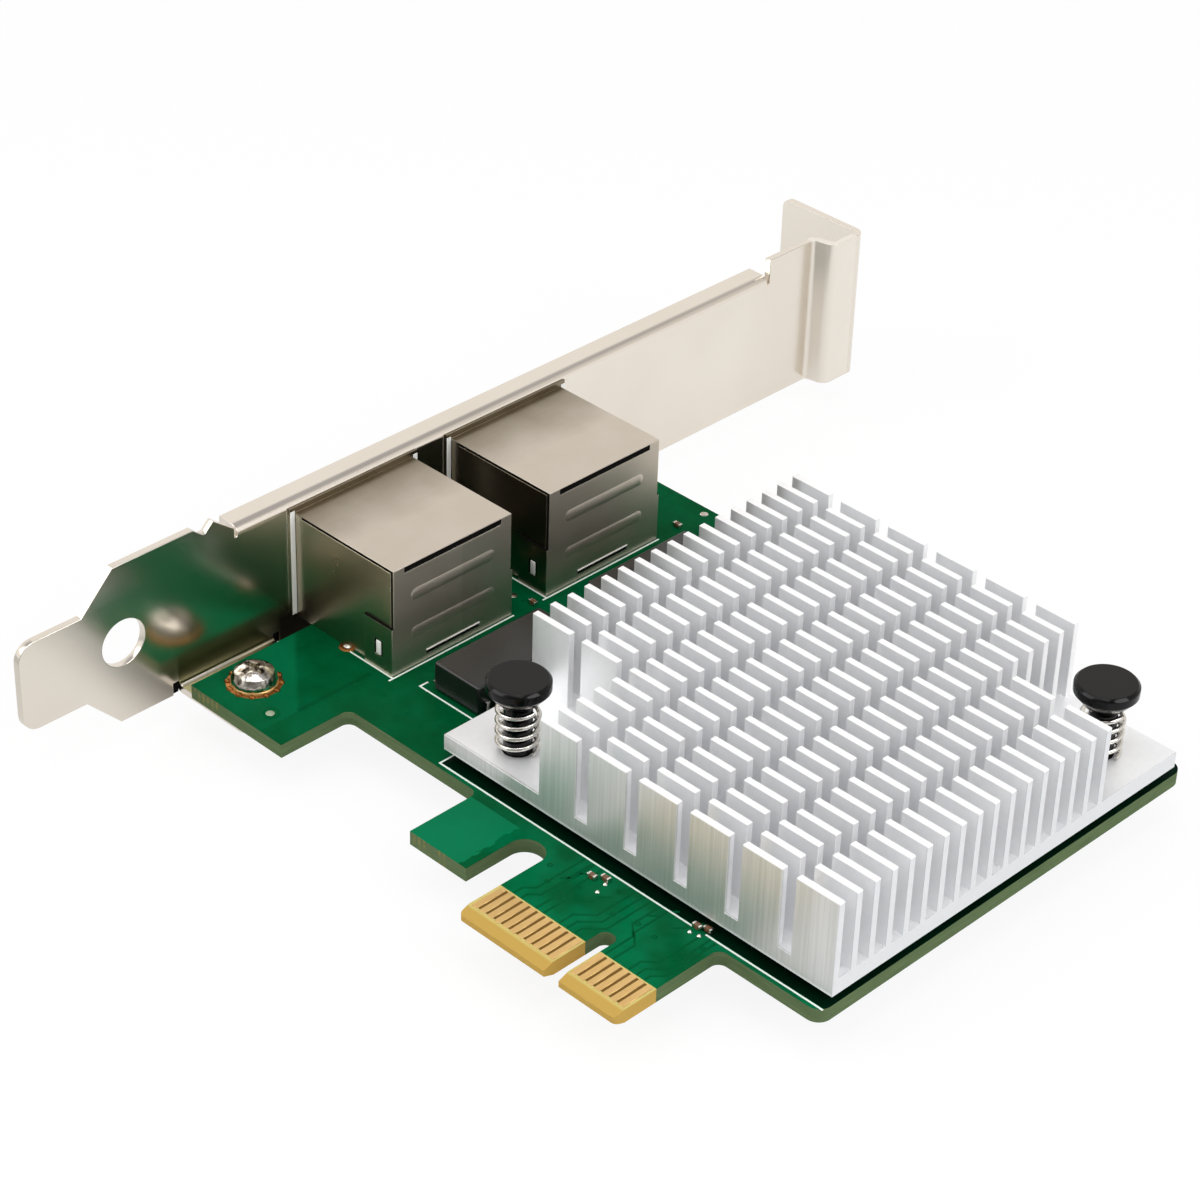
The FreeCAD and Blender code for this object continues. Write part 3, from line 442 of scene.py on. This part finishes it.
# painted reflection: the blade's inner face beside the foot turns dark olive towards its lower edge
painted_reflection_by_foot = bracket_nickel.inside(x, -59.3, -59.1) * bracket_nickel.inside(y, FOOT_START, SOCKET_START)
painted_reflection_by_foot = painted_reflection_by_foot * bracket_nickel.span(z, 2.8, 0.6, 0.0, 0.9)
plated = bracket_nickel.mix(painted_reflection_by_foot, plated, linear(160, 160, 118))
# painted shade: the sheet is darkened low down where the foot ends
painted_shade_at_foot_end = bracket_nickel.span(y, 16.2, 18.6) * (y < 23.0) * bracket_nickel.span(z, 2.0, 0.4)
bracket_nickel.set(
    Base_Color=bracket_nickel.mix(painted_shade_at_foot_end, plated, linear(60, 54, 44)),
    Metallic=1.0 - bracket_nickel.inside(y, *JOG) * 0.55,
    Roughness=0.15 + rolled * 0.05 + cloud * 0.04,
    Normal=bracket_nickel.bump(rolled, 0.002, 0.1),
)

shield_tin = Finish("shield_tin", Metallic=1.0)
cloud = shield_tin.noise(0.22)
scuffs = shield_tin.noise(2.0, (1.0, 0.12, 1.0), 4.0)
# painted light: a lit and a shaded copy of the tin; roofs away from the bracket and rear flaps take the
# lit copy, sides the shaded one, lighter on the near socket
painted_lit_tin = shield_tin.mix(cloud, linear(204, 194, 180), linear(216, 207, 195))
top = shield_tin.z > 12.5
painted_light_near_side = (shield_tin.y < 30.0) * (1 - top)
painted_shaded_tin = shield_tin.mix(painted_light_near_side, linear(134, 124, 106), linear(184, 176, 154))
rear = shield_tin.x > -44.05
painted_roof_light = top * shield_tin.span(shield_tin.x + cloud * 3.0 + scuffs, -57.0, -48.5)
shield_tin.set(
    Base_Color=shield_tin.mix(painted_roof_light + rear * 0.8, painted_shaded_tin, painted_lit_tin),
    Roughness=0.26 + rear * 0.14 + cloud * 0.04 + scuffs * top * 0.08,
    Normal=shield_tin.bump(cloud, 0.004, 0.2),
)

# painted highlight: near white, rough finish for the flanges, the catches and the line over the notch
painted_highlight_finish = Finish("flange_painted_highlight")
highlight_mottle = painted_highlight_finish.noise(1.6, (1.0, 1.0, 0.1))
painted_highlight_finish.set(
    Base_Color=painted_highlight_finish.mix(highlight_mottle, linear(248, 247, 243), linear(254, 254, 251)),
    Roughness=0.4 + highlight_mottle * 0.15,
)

# painted shadow: near black finish for cards put where openings show only shade
painted_shadow_black = Finish("painted_shadow_black", Specular_IOR_Level=0.1)
murk = painted_shadow_black.noise(0.8)
painted_shadow_black.set(
    Base_Color=painted_shadow_black.mix(murk, linear(3, 3, 3), linear(12, 11, 9)),
    Roughness=0.8 + murk * 0.1,
)
print("sheet metal ready")

# %% Bracket and shields
dressed("bracket", bracket_nickel, 0.07, segments=3)
for side in SIDES:
    dressed("jack_shield_" + side, shield_tin, 0.04)

# %% [markdown]
# The rear flap of each shield has two pressed ridges that stiffen it, and a small catch
# stands in the window of each side tab. A ridge starts as a box whose edges are bevelled
# until it is a round bar. The bar is flattened and sunk, so that only a low swelling
# stands out of the flap. The flange beside the bracket, the catches and a thin line low on
# the rear flap carry a painted highlight: a near white, rougher copy of the sheet. The
# seams, the slot and the windows of the sheet open on shade, so black cards stand inside it
# as painted shadow. So do the small reliefs at the ends of the bracket's feet.

# %% Ridges, catches and flanges of the shields
SHIELD_REAR = -43.94
RIDGE_LEVELS = (4.2, 8.8)
RIDGE_INSET = 1.7
RIDGE_HALF = 1.05
RIDGE_RISE = 0.1
CATCH_X = (-46.4, -45.65)
CATCH_Z = (1.8, 3.5)
CATCH_REACH = 0.55
FLANGE_FACE = -58.95
FLANGE_REACH = 0.9
FLANGE_SKIN = 0.06
LIP_INSET = 4.15
SILL_INSET = 4.1
JACK_TOP = 12.66
# Depth outside the housing, then left, bottom, right and top: seams, window, tab's brim
SIDE_CARDS = (
    (0.03, 0.22, -58.7, 5.6, -44.05, JACK_TOP - 0.06),
    (0.27, 0.47, -46.7, 1.6, -45.4, 3.7),
    (0.24, 0.5, -48.22, 5.69, -43.95, 5.76),
)
# Margin, then left, bottom, right and top: slot, its upper brim, notch
REAR_CARDS = (
    (1.0, -44.16, JACK_TOP - 0.86, -43.965, JACK_TOP - 0.2),
    (1.19, -44.0, JACK_TOP - 0.3, -43.925, JACK_TOP - 0.08),
    (4.0, -44.16, 0.7, -43.99, 1.25),
)

for side in SIDES:
    low, high = span_of("jack_housing_" + side)
    bm = bmesh.new()
    for rise in RIDGE_LEVELS:
        block(
            bm, (-RIDGE_HALF, low.y + RIDGE_INSET, rise - RIDGE_HALF),
            (RIDGE_HALF, high.y - RIDGE_INSET, rise + RIDGE_HALF),
        )
    round_off(bm, RIDGE_HALF * 0.98, 10)
    bmesh.ops.scale(bm, verts=bm.verts, vec=(0.4, 1.0, 1.0))
    bmesh.ops.translate(bm, verts=bm.verts, vec=(SHIELD_REAR + RIDGE_RISE - RIDGE_HALF * 0.4, 0, 0))
    made("shield_ridges_" + side, bm, shield_tin)

    bm = bmesh.new()
    for face, reach in ((low.y, -CATCH_REACH), (high.y, CATCH_REACH)):
        near, away = sorted((face, face + reach))
        block(bm, (CATCH_X[0], near, CATCH_Z[0]), (CATCH_X[1], away, CATCH_Z[1]))
    round_off(bm, 0.12, 3)
    made("shield_catches_" + side, bm, painted_highlight_finish)

    bm = bmesh.new()
    for face, reach in ((low.y, -FLANGE_REACH), (high.y, FLANGE_REACH)):
        near, away = sorted((face + reach / 3, face + reach))
        block(bm, (FLANGE_FACE, near, 0.4), (FLANGE_FACE + FLANGE_SKIN, away, 12.9))
    round_off(bm, 0.02, 2)
    block(bm, (-43.96, low.y + LIP_INSET, 1.2), (-43.87, high.y - LIP_INSET, 1.3))
    made("shield_flanges_" + side, bm, painted_highlight_finish)

    bm = bmesh.new()
    block(bm, (-44.15, low.y + SILL_INSET, 0.05), (-43.96, high.y - SILL_INSET, 0.75))
    made("shield_sills_" + side, bm, shield_tin)

    # painted shadow: black cards in the seams, window, slot and notch of the shield
    bm = bmesh.new()
    for face, out in ((low.y, -1), (high.y, 1)):
        for inner, outer, left, bottom, right, top in SIDE_CARDS:
            near, away = sorted((face + out * inner, face + out * outer))
            block(bm, (left, near, bottom), (right, away, top))
    for margin, left, bottom, right, top in REAR_CARDS:
        block(bm, (left, low.y + margin, bottom), (right, high.y - margin, top))
    made("shield_gaps_" + side, bm, painted_shadow_black)

# Starts and ends of the reliefs along the bracket, then their depth in the sheet and height
RELIEFS = ((4.3, 5.15), (17.5, 18.35), (59.15, 60.0), (66.4, 67.25))
RELIEF_X = (-59.75, -59.5)
RELIEF_Z = (-2.46, -1.0)
# painted shadow: black cards in the reliefs at the ends of the feet
bm = bmesh.new()
for start, end in RELIEFS:
    block(bm, (RELIEF_X[0], start, RELIEF_Z[0]), (RELIEF_X[1], end, RELIEF_Z[1]))
made("bracket_relief_shadows", bm, painted_shadow_black)

# %% [markdown]
# ## Circuit board
# A board is a sandwich of glass cloth and resin with copper inside and green lacquer over
# both faces. The lacquer stops short of the contacts, so the connector's tip is the bare
# yellow of the core. The cut edges show the layers as olive bands, and here and there a
# row of copper ends. A straight border between copper areas shows through the lacquer as
# darker green, beside lighter green patches, which masks on the coordinates draw. Masks
# also paint light: a painted reflection makes a lighter patch in front of the near socket,
# painted shade darkens the lacquer towards the sockets, and a painted shadow lies under
# the heat sink.

# %% Board finish
THICK = 1.6
LACQUER_END = 5.3
TONGUE = (-12.3, 8.2)

lacquer = Finish("board_lacquer", Specular_IOR_Level=0.015)
x, y, z = lacquer.x, lacquer.y, lacquer.z
edge = lacquer.inside(z, 0.03 - THICK, -0.03)
bare = (y < LACQUER_END) * lacquer.inside(x, *TONGUE)
patches = lacquer.noise(0.16, detail=2.0)
mottle = lacquer.noise(0.9, detail=3.0)
weave = lacquer.noise(1.0, (1.4, 1.4, 0.001), 1.0)
green = lacquer.mix(lacquer.span(patches, 0.4, 0.6), linear(0, 80, 43), linear(0, 94, 56))
green = lacquer.mix(lacquer.span(mottle, 0.45, 0.7, 0.0, 0.3), green, linear(0, 70, 37))
# painted shade: the lacquer darkens towards the sockets
green = lacquer.mix(lacquer.span(x, -26.0, -40.0, 0.0, 0.35), green, linear(0, 64, 33))
# painted reflection: a lighter patch in front of the near socket, bounded by a slanted line
painted_reflection_light = lacquer.span(x * 0.818 + y, -28.4, -27.7, 0.4, 0.0) * lacquer.span(y, 4.0, 16.0, 0.2, 1.0)
green = lacquer.mix(painted_reflection_light * (x < -46.0), green, linear(8, 122, 80))
gap_line = lacquer.span(x, -46.5, -46.0) * lacquer.span(x, -45.5, -46.0) * lacquer.inside(y, 9.6, 19.2)
green = lacquer.mix(gap_line * 0.6, green, linear(0, 62, 33))
by_contacts = lacquer.span(x, -18.0, -12.0) * lacquer.span(patches, 0.35, 0.55) * (y < 13.9)
green = lacquer.mix(by_contacts * 0.35, green, linear(6, 116, 74))
hook = lacquer.inside(x, -24.0, -17.9 + mottle * 1.4) * (y < 12.6)
green = lacquer.mix(hook * 0.7, green, linear(14, 120, 80))
shadow = lacquer.inside(x, -30.2, 20.6) * (y > 14.25) * (z > -0.8)
green = lacquer.mix(shadow * 0.93, green, linear(2, 14, 9))
resin = lacquer.mix(mottle, linear(190, 172, 98), linear(206, 190, 122))
resin = lacquer.mix(lacquer.span(z, -0.02, -0.12), resin, linear(188, 154, 80))
rows = lacquer.inside(x, -11.85, -1.15) + lacquer.inside(x, 1.15, 7.85)
gap = lacquer.inside(y, 1.45, 5.1) * rows * (z > -0.05)
resin = lacquer.mix(gap * 0.95, resin, linear(104, 74, 34))
layers = lacquer.noise(1.0, (0.26, 0.26, 5.2), 2.0)
olive = lacquer.mix(layers, linear(74, 94, 62), linear(106, 122, 88))
wave_inputs = {"Vector": lacquer.spot, "Scale": 0.45}
ends = lacquer.add("ShaderNodeTexWave", {"bands_direction": "X"}, wave_inputs, 1)
cut_copper = (lacquer.inside(x, -56.2, -52.4) + lacquer.inside(x, -23.6, -19.0)) * (y < 5.0)
cut_copper = cut_copper * lacquer.span(ends, 0.3, 0.9) * lacquer.span(mottle, 0.4, 0.6)
olive = lacquer.mix(cut_copper * 0.45, olive, linear(160, 134, 74))
surface = lacquer.mix(bare, green, resin)
side_face = lacquer.mix(bare, olive, resin)
lacquer.set(
    Base_Color=lacquer.mix(edge, surface, side_face),
    Roughness=0.2 + edge * 0.4 + bare * 0.16 + patches * 0.08,
    Normal=lacquer.bump(patches * 0.4 + weave * 0.4 + mottle * 0.2, 0.008, 0.3),
)
print("board finish has", len(lacquer.tree.nodes), "nodes")

# %% Board
bm = solid_of("circuit_board")
tip, above_tip = 1.2 * MM, 1.6 * MM
round_off(bm, 0.2 * MM, 4, 15.0, lambda e: all(v.co.y < tip for v in e.verts))
round_off(bm, 0.05 * MM, 2, 30.0, lambda e: all(v.co.y > above_tip for v in e.verts))
board = piece("circuit_board_dressed", bm, lacquer)
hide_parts("circuit_board")
print("board:", len(board.data.polygons), "faces")

# %% [markdown]
# ## Tracks under the lacquer
# Copper tracks lie under the lacquer and lift it by a few hundredths of a millimetre.
# They leave the contacts, turn through 45 degrees and slip under the heat sink. A list
# of turning points is enough, and the strip helper lays the bands.

# %% Tracks
TRACK_TOP = 0.016
TRACK_WIDTH = 0.24
TRACK_START, TRACK_END = 5.5, 13.7
LEADS = 10

track_green = Finish("track_lacquer", Specular_IOR_Level=0.015)
vary = track_green.noise(0.8)
track_green.set(
    Base_Color=track_green.mix(vary, linear(0, 76, 40), linear(0, 86, 49)),
    Roughness=0.22 + vary * 0.1,
    Normal=track_green.bump(vary, 0.004, 0.3),
)

RUNS = (
    (-10.5, 6.6, 0.9), (-9.5, 6.2, 0.9), (-7.5, 7.6, -0.8), (-6.5, 8.0, -0.8), (-4.5, 7.2, 1.6),
    (-3.5, 6.8, 1.6), (-2.5, 6.4, 1.6), (1.5, 9.0, -1.3), (2.5, 8.2, -1.3), (4.5, 7.0, 1.2),
    (5.5, 6.6, 1.2), (6.5, 6.2, 0.9),
)
STEPS = ((-9.1, 10.2), (-5.4, 9.1), (0.4, 12.2), (3.2, 12.6))
bm = bmesh.new()
for start, bend, shift in RUNS:
    line = [
        (start, TRACK_START), (start, bend),
        (start + shift, bend + abs(shift)), (start + shift, TRACK_END),
    ]
    strip(bm, line, TRACK_WIDTH, TRACK_TOP)
for x0, y0 in STEPS:
    line = [(x0, y0), (x0 + 0.7, y0 + 0.7), (x0 + 0.7, y0 + 1.6), (x0 + 1.5, y0 + 2.4)]
    strip(bm, line, TRACK_WIDTH, TRACK_TOP)
for side in SIDES:
    low, high = span_of("magnetics_leads_" + side)
    for k in range(1, LEADS + 1):
        across = low.y + 0.2 + k * (high.y - low.y - 0.4) / (LEADS + 1)
        line = [(-43.6, across - 0.3), (-42.6, across - 0.3), (-42.0, across), (-40.6, across)]
        strip(bm, line, 0.3, TRACK_TOP)
made("board_tracks", bm, track_green)

# %% [markdown]
# ## Printed lines
# White ink marks where each part goes. The ink is thin and a little greenish where the
# lacquer shows through. The lines are bands a fifth of a millimetre wide; no lettering is
# printed here.

# %% Printed lines
INK_TOP = 0.03
INK = 0.2

ink = Finish("legend_ink")
worn = ink.noise(3.0)
ink.set(
    Base_Color=ink.mix(worn, linear(218, 232, 222), linear(240, 246, 240)),
    Roughness=0.55 + worn * 0.1,
)

bm = bmesh.new()
for side in SIDES:
    low, high = span_of("jack_housing_" + side)
    strip(bm, [(-50.2, low.y - 0.62), (-43.72, low.y - 0.62), (-43.72, high.y + 0.5)], INK, INK_TOP)
    strip(bm, [(-43.72, low.y - 1.1), (-43.72, low.y - 0.62)], INK, INK_TOP)
    low, high = span_of("magnetics_" + side)
    strip(bm, [(-40.9, low.y + 0.4), (-40.9, low.y - 0.6), (-31.2, low.y - 0.6)], INK, INK_TOP)
strip(bm, [(-30.0, 16.2), (-30.0, 14.05), (4.1, 14.05)], INK, INK_TOP)
strip(bm, [(6.0, 14.05), (20.2, 14.05)], INK, INK_TOP)
made("printed_lines", bm, ink)

# %% [markdown]
# ## Bare copper and solder
# Round each bracket screw the lacquer leaves a ring of bare copper with a scalloped edge,
# which grounds the bracket. Test pads and the joints of the sockets are tinned. Solder
# climbs each lead in a hollow curve, so a turned profile gives it its shape.

# %% Copper and solder
copper = Finish("bare_copper", Metallic=1.0)
tarnish = copper.noise(1.4)
copper.set(
    Base_Color=copper.mix(tarnish, linear(80, 48, 22), linear(170, 112, 60)),
    Roughness=0.25 + tarnish * 0.25,
    Normal=copper.bump(tarnish, 0.02, 0.4),
)
solder = Finish("solder", Metallic=1.0)
dull = solder.noise(1.2)
solder.set(
    Base_Color=solder.mix(dull, linear(196, 194, 186), linear(226, 224, 216)),
    Roughness=0.16 + dull * 0.2,
    Normal=solder.bump(dull, 0.02, 0.4),
)

SCREWS = ((-52.8, 9.65), (-52.8, 63.2))
SCALLOPS = 12
bm = bmesh.new()
for spot in SCREWS:
    turned(bm, [(1.5, 0.0), (1.5, 0.05), (2.8, 0.05), (2.9, 0.0)], spot)
    for k in range(SCALLOPS):
        a = 2 * math.pi * (k + 0.5) / SCALLOPS
        centre = (spot[0] + 2.72 * math.cos(a), spot[1] + 2.72 * math.sin(a))
        turned(bm, [(0.0, 0.26), (0.2, 0.24), (0.3, 0.15), (0.36, 0.0), (0.0, 0.0)], centre, 16)
made("ground_rings", bm, copper, angle=60)

LEG_X = -51.15
TAILS = 8
TAIL_X, TAIL_STAGGER, TAIL_PITCH = -47.6, 2.54, 1.02
bm = bmesh.new()
pads = bmesh.new()
for side in SIDES:
    low, high = span_of("jack_housing_" + side)
    for leg_y in (low.y - 0.125, high.y + 0.125):
        turned(pads, [(0.5, 0.0), (0.5, 0.12), (0.8, 0.12), (0.98, 0.0)], (LEG_X, leg_y), 32)
        turned(bm, [(0.0, 0.3), (0.25, 0.27), (0.5, 0.12), (0.7, 0.0), (0.0, 0.0)], (LEG_X, leg_y), 32)
        below = [(0.0, -2.75), (0.35, -2.7), (0.55, -2.2), (1.0, -1.75), (1.2, -THICK), (0.0, -THICK)]
        turned(bm, below, (LEG_X, leg_y), 24)
    for k in range(TAILS):
        along = (k - (TAILS - 1) / 2) * TAIL_PITCH
        tail = (TAIL_X + TAIL_STAGGER * (k % 2), (low.y + high.y) / 2 + along)
        below = [(0.0, -3.1), (0.2, -3.05), (0.3, -2.4), (0.5, -1.9), (0.72, -THICK), (0.0, -THICK)]
        turned(bm, below, tail, 20)
for spot in ((-46.5, 39.8), (-43.9, 66.3)):
    turned(bm, [(0.0, 0.04), (0.36, 0.04), (0.46, 0.0), (0.0, 0.0)], spot, 24)
for spot in ((-5.6, 12.55), (-5.3, 11.2), (4.6, 13.3), (5.6, 13.5)):
    turned(bm, [(0.0, 0.16), (0.12, 0.14), (0.24, 0.0), (0.0, 0.0)], spot, 16)
made("copper_pads", pads, copper, angle=60)
made("solder_joints", bm, solder, angle=60)

old_tin = Finish("dull_test_pad", Metallic=0.3)
film = old_tin.noise(1.5)
old_tin.set(Base_Color=old_tin.mix(film, linear(132, 146, 120), linear(176, 186, 160)), Roughness=0.5)
bm = bmesh.new()
turned(bm, [(0.0, 0.05), (0.38, 0.05), (0.47, 0.0), (0.0, 0.0)], (-47.6, 7.3), 24)
made("test_pad", bm, old_tin, angle=60)

# %% Vias
VIAS = (
    (-9.6, 8.9), (-6.9, 10.3), (-2.0, 9.9), (0.6, 10.6), (2.9, 10.4), (6.6, 9.4), (7.1, 12.4),
    (-3.9, 12.7), (-11.2, 10.8), (-42.1, 17.6), (-38.4, 17.2), (-35.6, 18.8), (-45.6, 17.1),
    (-54.6, 17.4), (-49.4, 38.9), (-44.9, 39.9), (-52.2, 39.4), (-46.2, 61.2), (-41.4, 61.0),
    (-38.6, 63.4), (-34.4, 62.0), (-36.5, 40.5),
)
bm = bmesh.new()
for spot in VIAS:
    turned(bm, [(0.14, 0.0), (0.14, 0.03), (0.27, 0.03), (0.31, 0.0)], spot, 16)
turned(bm, [(0.46, 0.0), (0.5, 0.025), (0.95, 0.025), (1.05, 0.0)], (-47.6, 7.3), 32)
made("via_rings", bm, track_green, angle=60)

# %% [markdown]
# ## Contacts
# The contacts of the edge connector are copper under hard gold, and the wiping of a slot
# leaves faint lines along them. The sockets' contacts have the same plating.

# %% Contacts
gold = Finish("contact_gold", Metallic=0.75)
wear = gold.noise(1.0, (0.9, 0.16, 0.9))
gold.set(
    Base_Color=gold.mix(wear, linear(218, 172, 100), linear(238, 202, 138)),
    Roughness=0.3 + wear * 0.15,
    Normal=gold.bump(wear, 0.003, 0.3),
)
for face in ("component", "solder"):
    dressed("contacts_%s_side" % face, gold, 0.02, segments=1)
for side in SIDES:
    dressed("jack_contacts_" + side, gold, 0.03, segments=1)
bm = bmesh.new()
for spot in SCREWS:
    turned(bm, [(1.5, 0.0), (1.5, 0.34), (2.3, 0.34), (2.45, 0.26), (2.47, 0.0)], spot)
made("screw_washers", bm, gold, angle=60)

# %% [markdown]
# ## Heat sink
# The sink is extruded aluminium: its fins carry fine lines along their length, its front
# was sawn, which left upright streaks, and gang saws cut the cross channels. Bare
# aluminium scatters more light than plated sheet does, so it is not a full metal here,
# and its sawn tops look almost white.

# %% Heat sink
aluminium = Finish("sink_aluminium")
drawn = aluminium.noise(1.0, (0.09, 0.09, 4.2))
sawn = aluminium.noise(1.0, (3.6, 3.6, 0.06))
grain = aluminium.noise(1.4, detail=2.0)
tops = aluminium.z > 11.5
front = (aluminium.y < 15.2) * aluminium.inside(aluminium.z, 1.3, 11.5)
# painted shade: the fin ends facing +X get a darker base colour
ends = (aluminium.x > 20.35) * (aluminium.z < 11.5)
milled = aluminium.mix(grain, linear(241, 242, 244), linear(250, 250, 251))
streaks = aluminium.mix(aluminium.span(sawn, 0.3, 0.7), linear(212, 214, 212), linear(230, 231, 231))
milled = aluminium.mix(front, milled, streaks)
milled = aluminium.mix(ends, milled, linear(222, 224, 227))
aluminium.set(
    Base_Color=aluminium.mix(tops, milled, linear(246, 246, 246)),
    Metallic=0.45 - tops * 0.25 + front * 0.27 + aluminium.span(aluminium.x, -26.5, -30.4, 0.0, 0.3),
    Roughness=0.3 + grain * 0.1 + sawn * 0.12,
    Normal=aluminium.bump(sawn * 0.6 + drawn * 0.25 + grain * 0.15, 0.012, 0.4 - front * 0.25),
)
dressed("heat_sink", aluminium, 0.06)

# %% [markdown]
# ## Push pins and springs
# Each pin is a glossy black nylon moulding: a flat head, a tapered throat and a split tip
# that snaps under the board. A bright steel spring under the head pulls the sink down.
# The spring is a small circle, spun upwards as it goes round. It stays on the card.

# %% Pins and springs
nylon = Finish("pin_nylon", Specular_IOR_Level=0.2)
ripple = nylon.noise(0.5, detail=2.0)
nylon.set(
    Base_Color=nylon.mix(ripple, linear(4, 4, 5), linear(8, 8, 9)),
    Roughness=0.08 + ripple * 0.08,
    Normal=nylon.bump(ripple, 0.008, 0.25),
)
chrome = Finish("bright_steel", Metallic=1.0)
drawing = chrome.noise(2.4, detail=2.0)
chrome.set(
    Base_Color=chrome.mix(drawing, linear(196, 192, 184), linear(232, 230, 226)),
    Roughness=0.06 + drawing * 0.08,
    Normal=chrome.bump(drawing, 0.05, 0.5),
)

SINK_BASE_TOP = 2.8
COIL_RADIUS = 2.05
WIRE_RADIUS = 0.25
WIRE_SIDES = 14
COIL_TURNS = 4
COIL_STEPS = 44
for side in ("left", "right"):
    dressed("push_pin_" + side, nylon, 0.12, side + "_pin", 3)
    low, high = span_of("push_pin_" + side)
    axis_x, axis_y = (low.x + high.x) / 2, (low.y + high.y) / 2
    length = span_of("pin_spring_" + side)[1].z - SINK_BASE_TOP
    bm = bmesh.new()
    start = Vector((axis_x + COIL_RADIUS, axis_y, SINK_BASE_TOP + WIRE_RADIUS))
    place = Matrix.Translation(start) @ Matrix.Rotation(math.pi / 2, 4, "X")
    bmesh.ops.create_circle(bm, cap_ends=False, segments=WIRE_SIDES, radius=WIRE_RADIUS, matrix=place)
    steps = int(COIL_TURNS * COIL_STEPS)
    rise = (length - 2 * WIRE_RADIUS) / steps
    bmesh.ops.spin(
        bm, geom=bm.verts[:] + bm.edges[:], cent=(axis_x, axis_y, 0), axis=(0, 0, 1),
        dvec=(0, 0, rise), angle=2 * math.pi * COIL_TURNS, steps=steps,
    )
    bmesh.ops.holes_fill(bm, edges=bm.edges, sides=WIRE_SIDES)
    bmesh.ops.recalc_face_normals(bm, faces=bm.faces)
    spring = made("coil_spring_" + side, bm, chrome)
    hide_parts("pin_spring_" + side)
    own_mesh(spring)

# %% [markdown]
# ## Screws
# A nickelled pan-head screw with a cross recess clamps the board to each foot of the
# bracket. Its plating is brighter and darker by turns, more so than the springs.

# %% Screws
nickel = Finish("screw_plating", Metallic=1.0)
clouds = nickel.noise(0.9, detail=2.0)
nickel.set(
    Base_Color=nickel.mix(nickel.span(clouds, 0.3, 0.6), linear(112, 103, 88), linear(236, 232, 224)),
    Roughness=0.08 + clouds * 0.1,
    Normal=nickel.bump(clouds, 0.12, 0.6),
)
dressed("bracket_screws", nickel, 0.05, segments=3)

# %% [markdown]
# ## Mouldings and small parts
# The socket housings are a dull black moulding. The magnetics modules and the controller
# are cast epoxy with a fine grain and soft corners. Chip capacitors are fired ceramic
# with tinned ends.

# %% Mouldings
housing_black = Finish("housing_black")
pits = housing_black.noise(1.5)
housing_black.set(
    Base_Color=housing_black.mix(pits, linear(16, 16, 17), linear(26, 26, 27)),
    Roughness=0.42 + pits * 0.2,
    Normal=housing_black.bump(pits, 0.01, 0.4),
)
epoxy = Finish("module_epoxy", Specular_IOR_Level=0.7)
pits = epoxy.noise(2.2)
cast = epoxy.noise(0.5)
epoxy.set(
    Base_Color=epoxy.mix(pits, linear(5, 6, 5), linear(10, 11, 10)),
    Roughness=0.24 + pits * 0.12 + cast * 0.08,
    Normal=epoxy.bump(pits * 0.5 + cast * 0.5, 0.03, 0.4),
)
elastomer = Finish("pad_elastomer")
dust = elastomer.noise(1.6)
elastomer.set(Base_Color=elastomer.mix(dust, linear(96, 98, 104), linear(118, 120, 126)), Roughness=0.8)
ceramic = Finish("capacitor_ceramic")
fired = ceramic.noise(1.8)
ceramic.set(Base_Color=ceramic.mix(fired, linear(74, 48, 32), linear(138, 98, 68)), Roughness=0.45)

for side in SIDES:
    dressed("jack_housing_" + side, housing_black, 0.06)
    dressed("magnetics_" + side, epoxy, 0.28, segments=4)
    dressed("magnetics_leads_" + side, solder, 0.03, segments=1)
dressed("controller_chip", epoxy, 0.04)
dressed("thermal_pad", elastomer, 0.02)
dressed("capacitor_bodies", ceramic, 0.03)
dressed("capacitor_ends", solder, 0.04)
bodies, ends = bmesh.new(), bmesh.new()
for mid_x, mid_y in ((-6.0, 13.0), (5.7, 14.6)):
    block(bodies, (mid_x - 0.3, mid_y - 0.25, 0.0), (mid_x + 0.3, mid_y + 0.25, 0.45))
    for left in (mid_x - 0.5, mid_x + 0.28):
        block(ends, (left, mid_y - 0.27, 0.0), (left + 0.22, mid_y + 0.27, 0.47))
round_off(bodies, 0.03)
round_off(ends, 0.04)
made("small_capacitor_bodies", bodies, ceramic)
made("small_capacitor_ends", ends, solder)
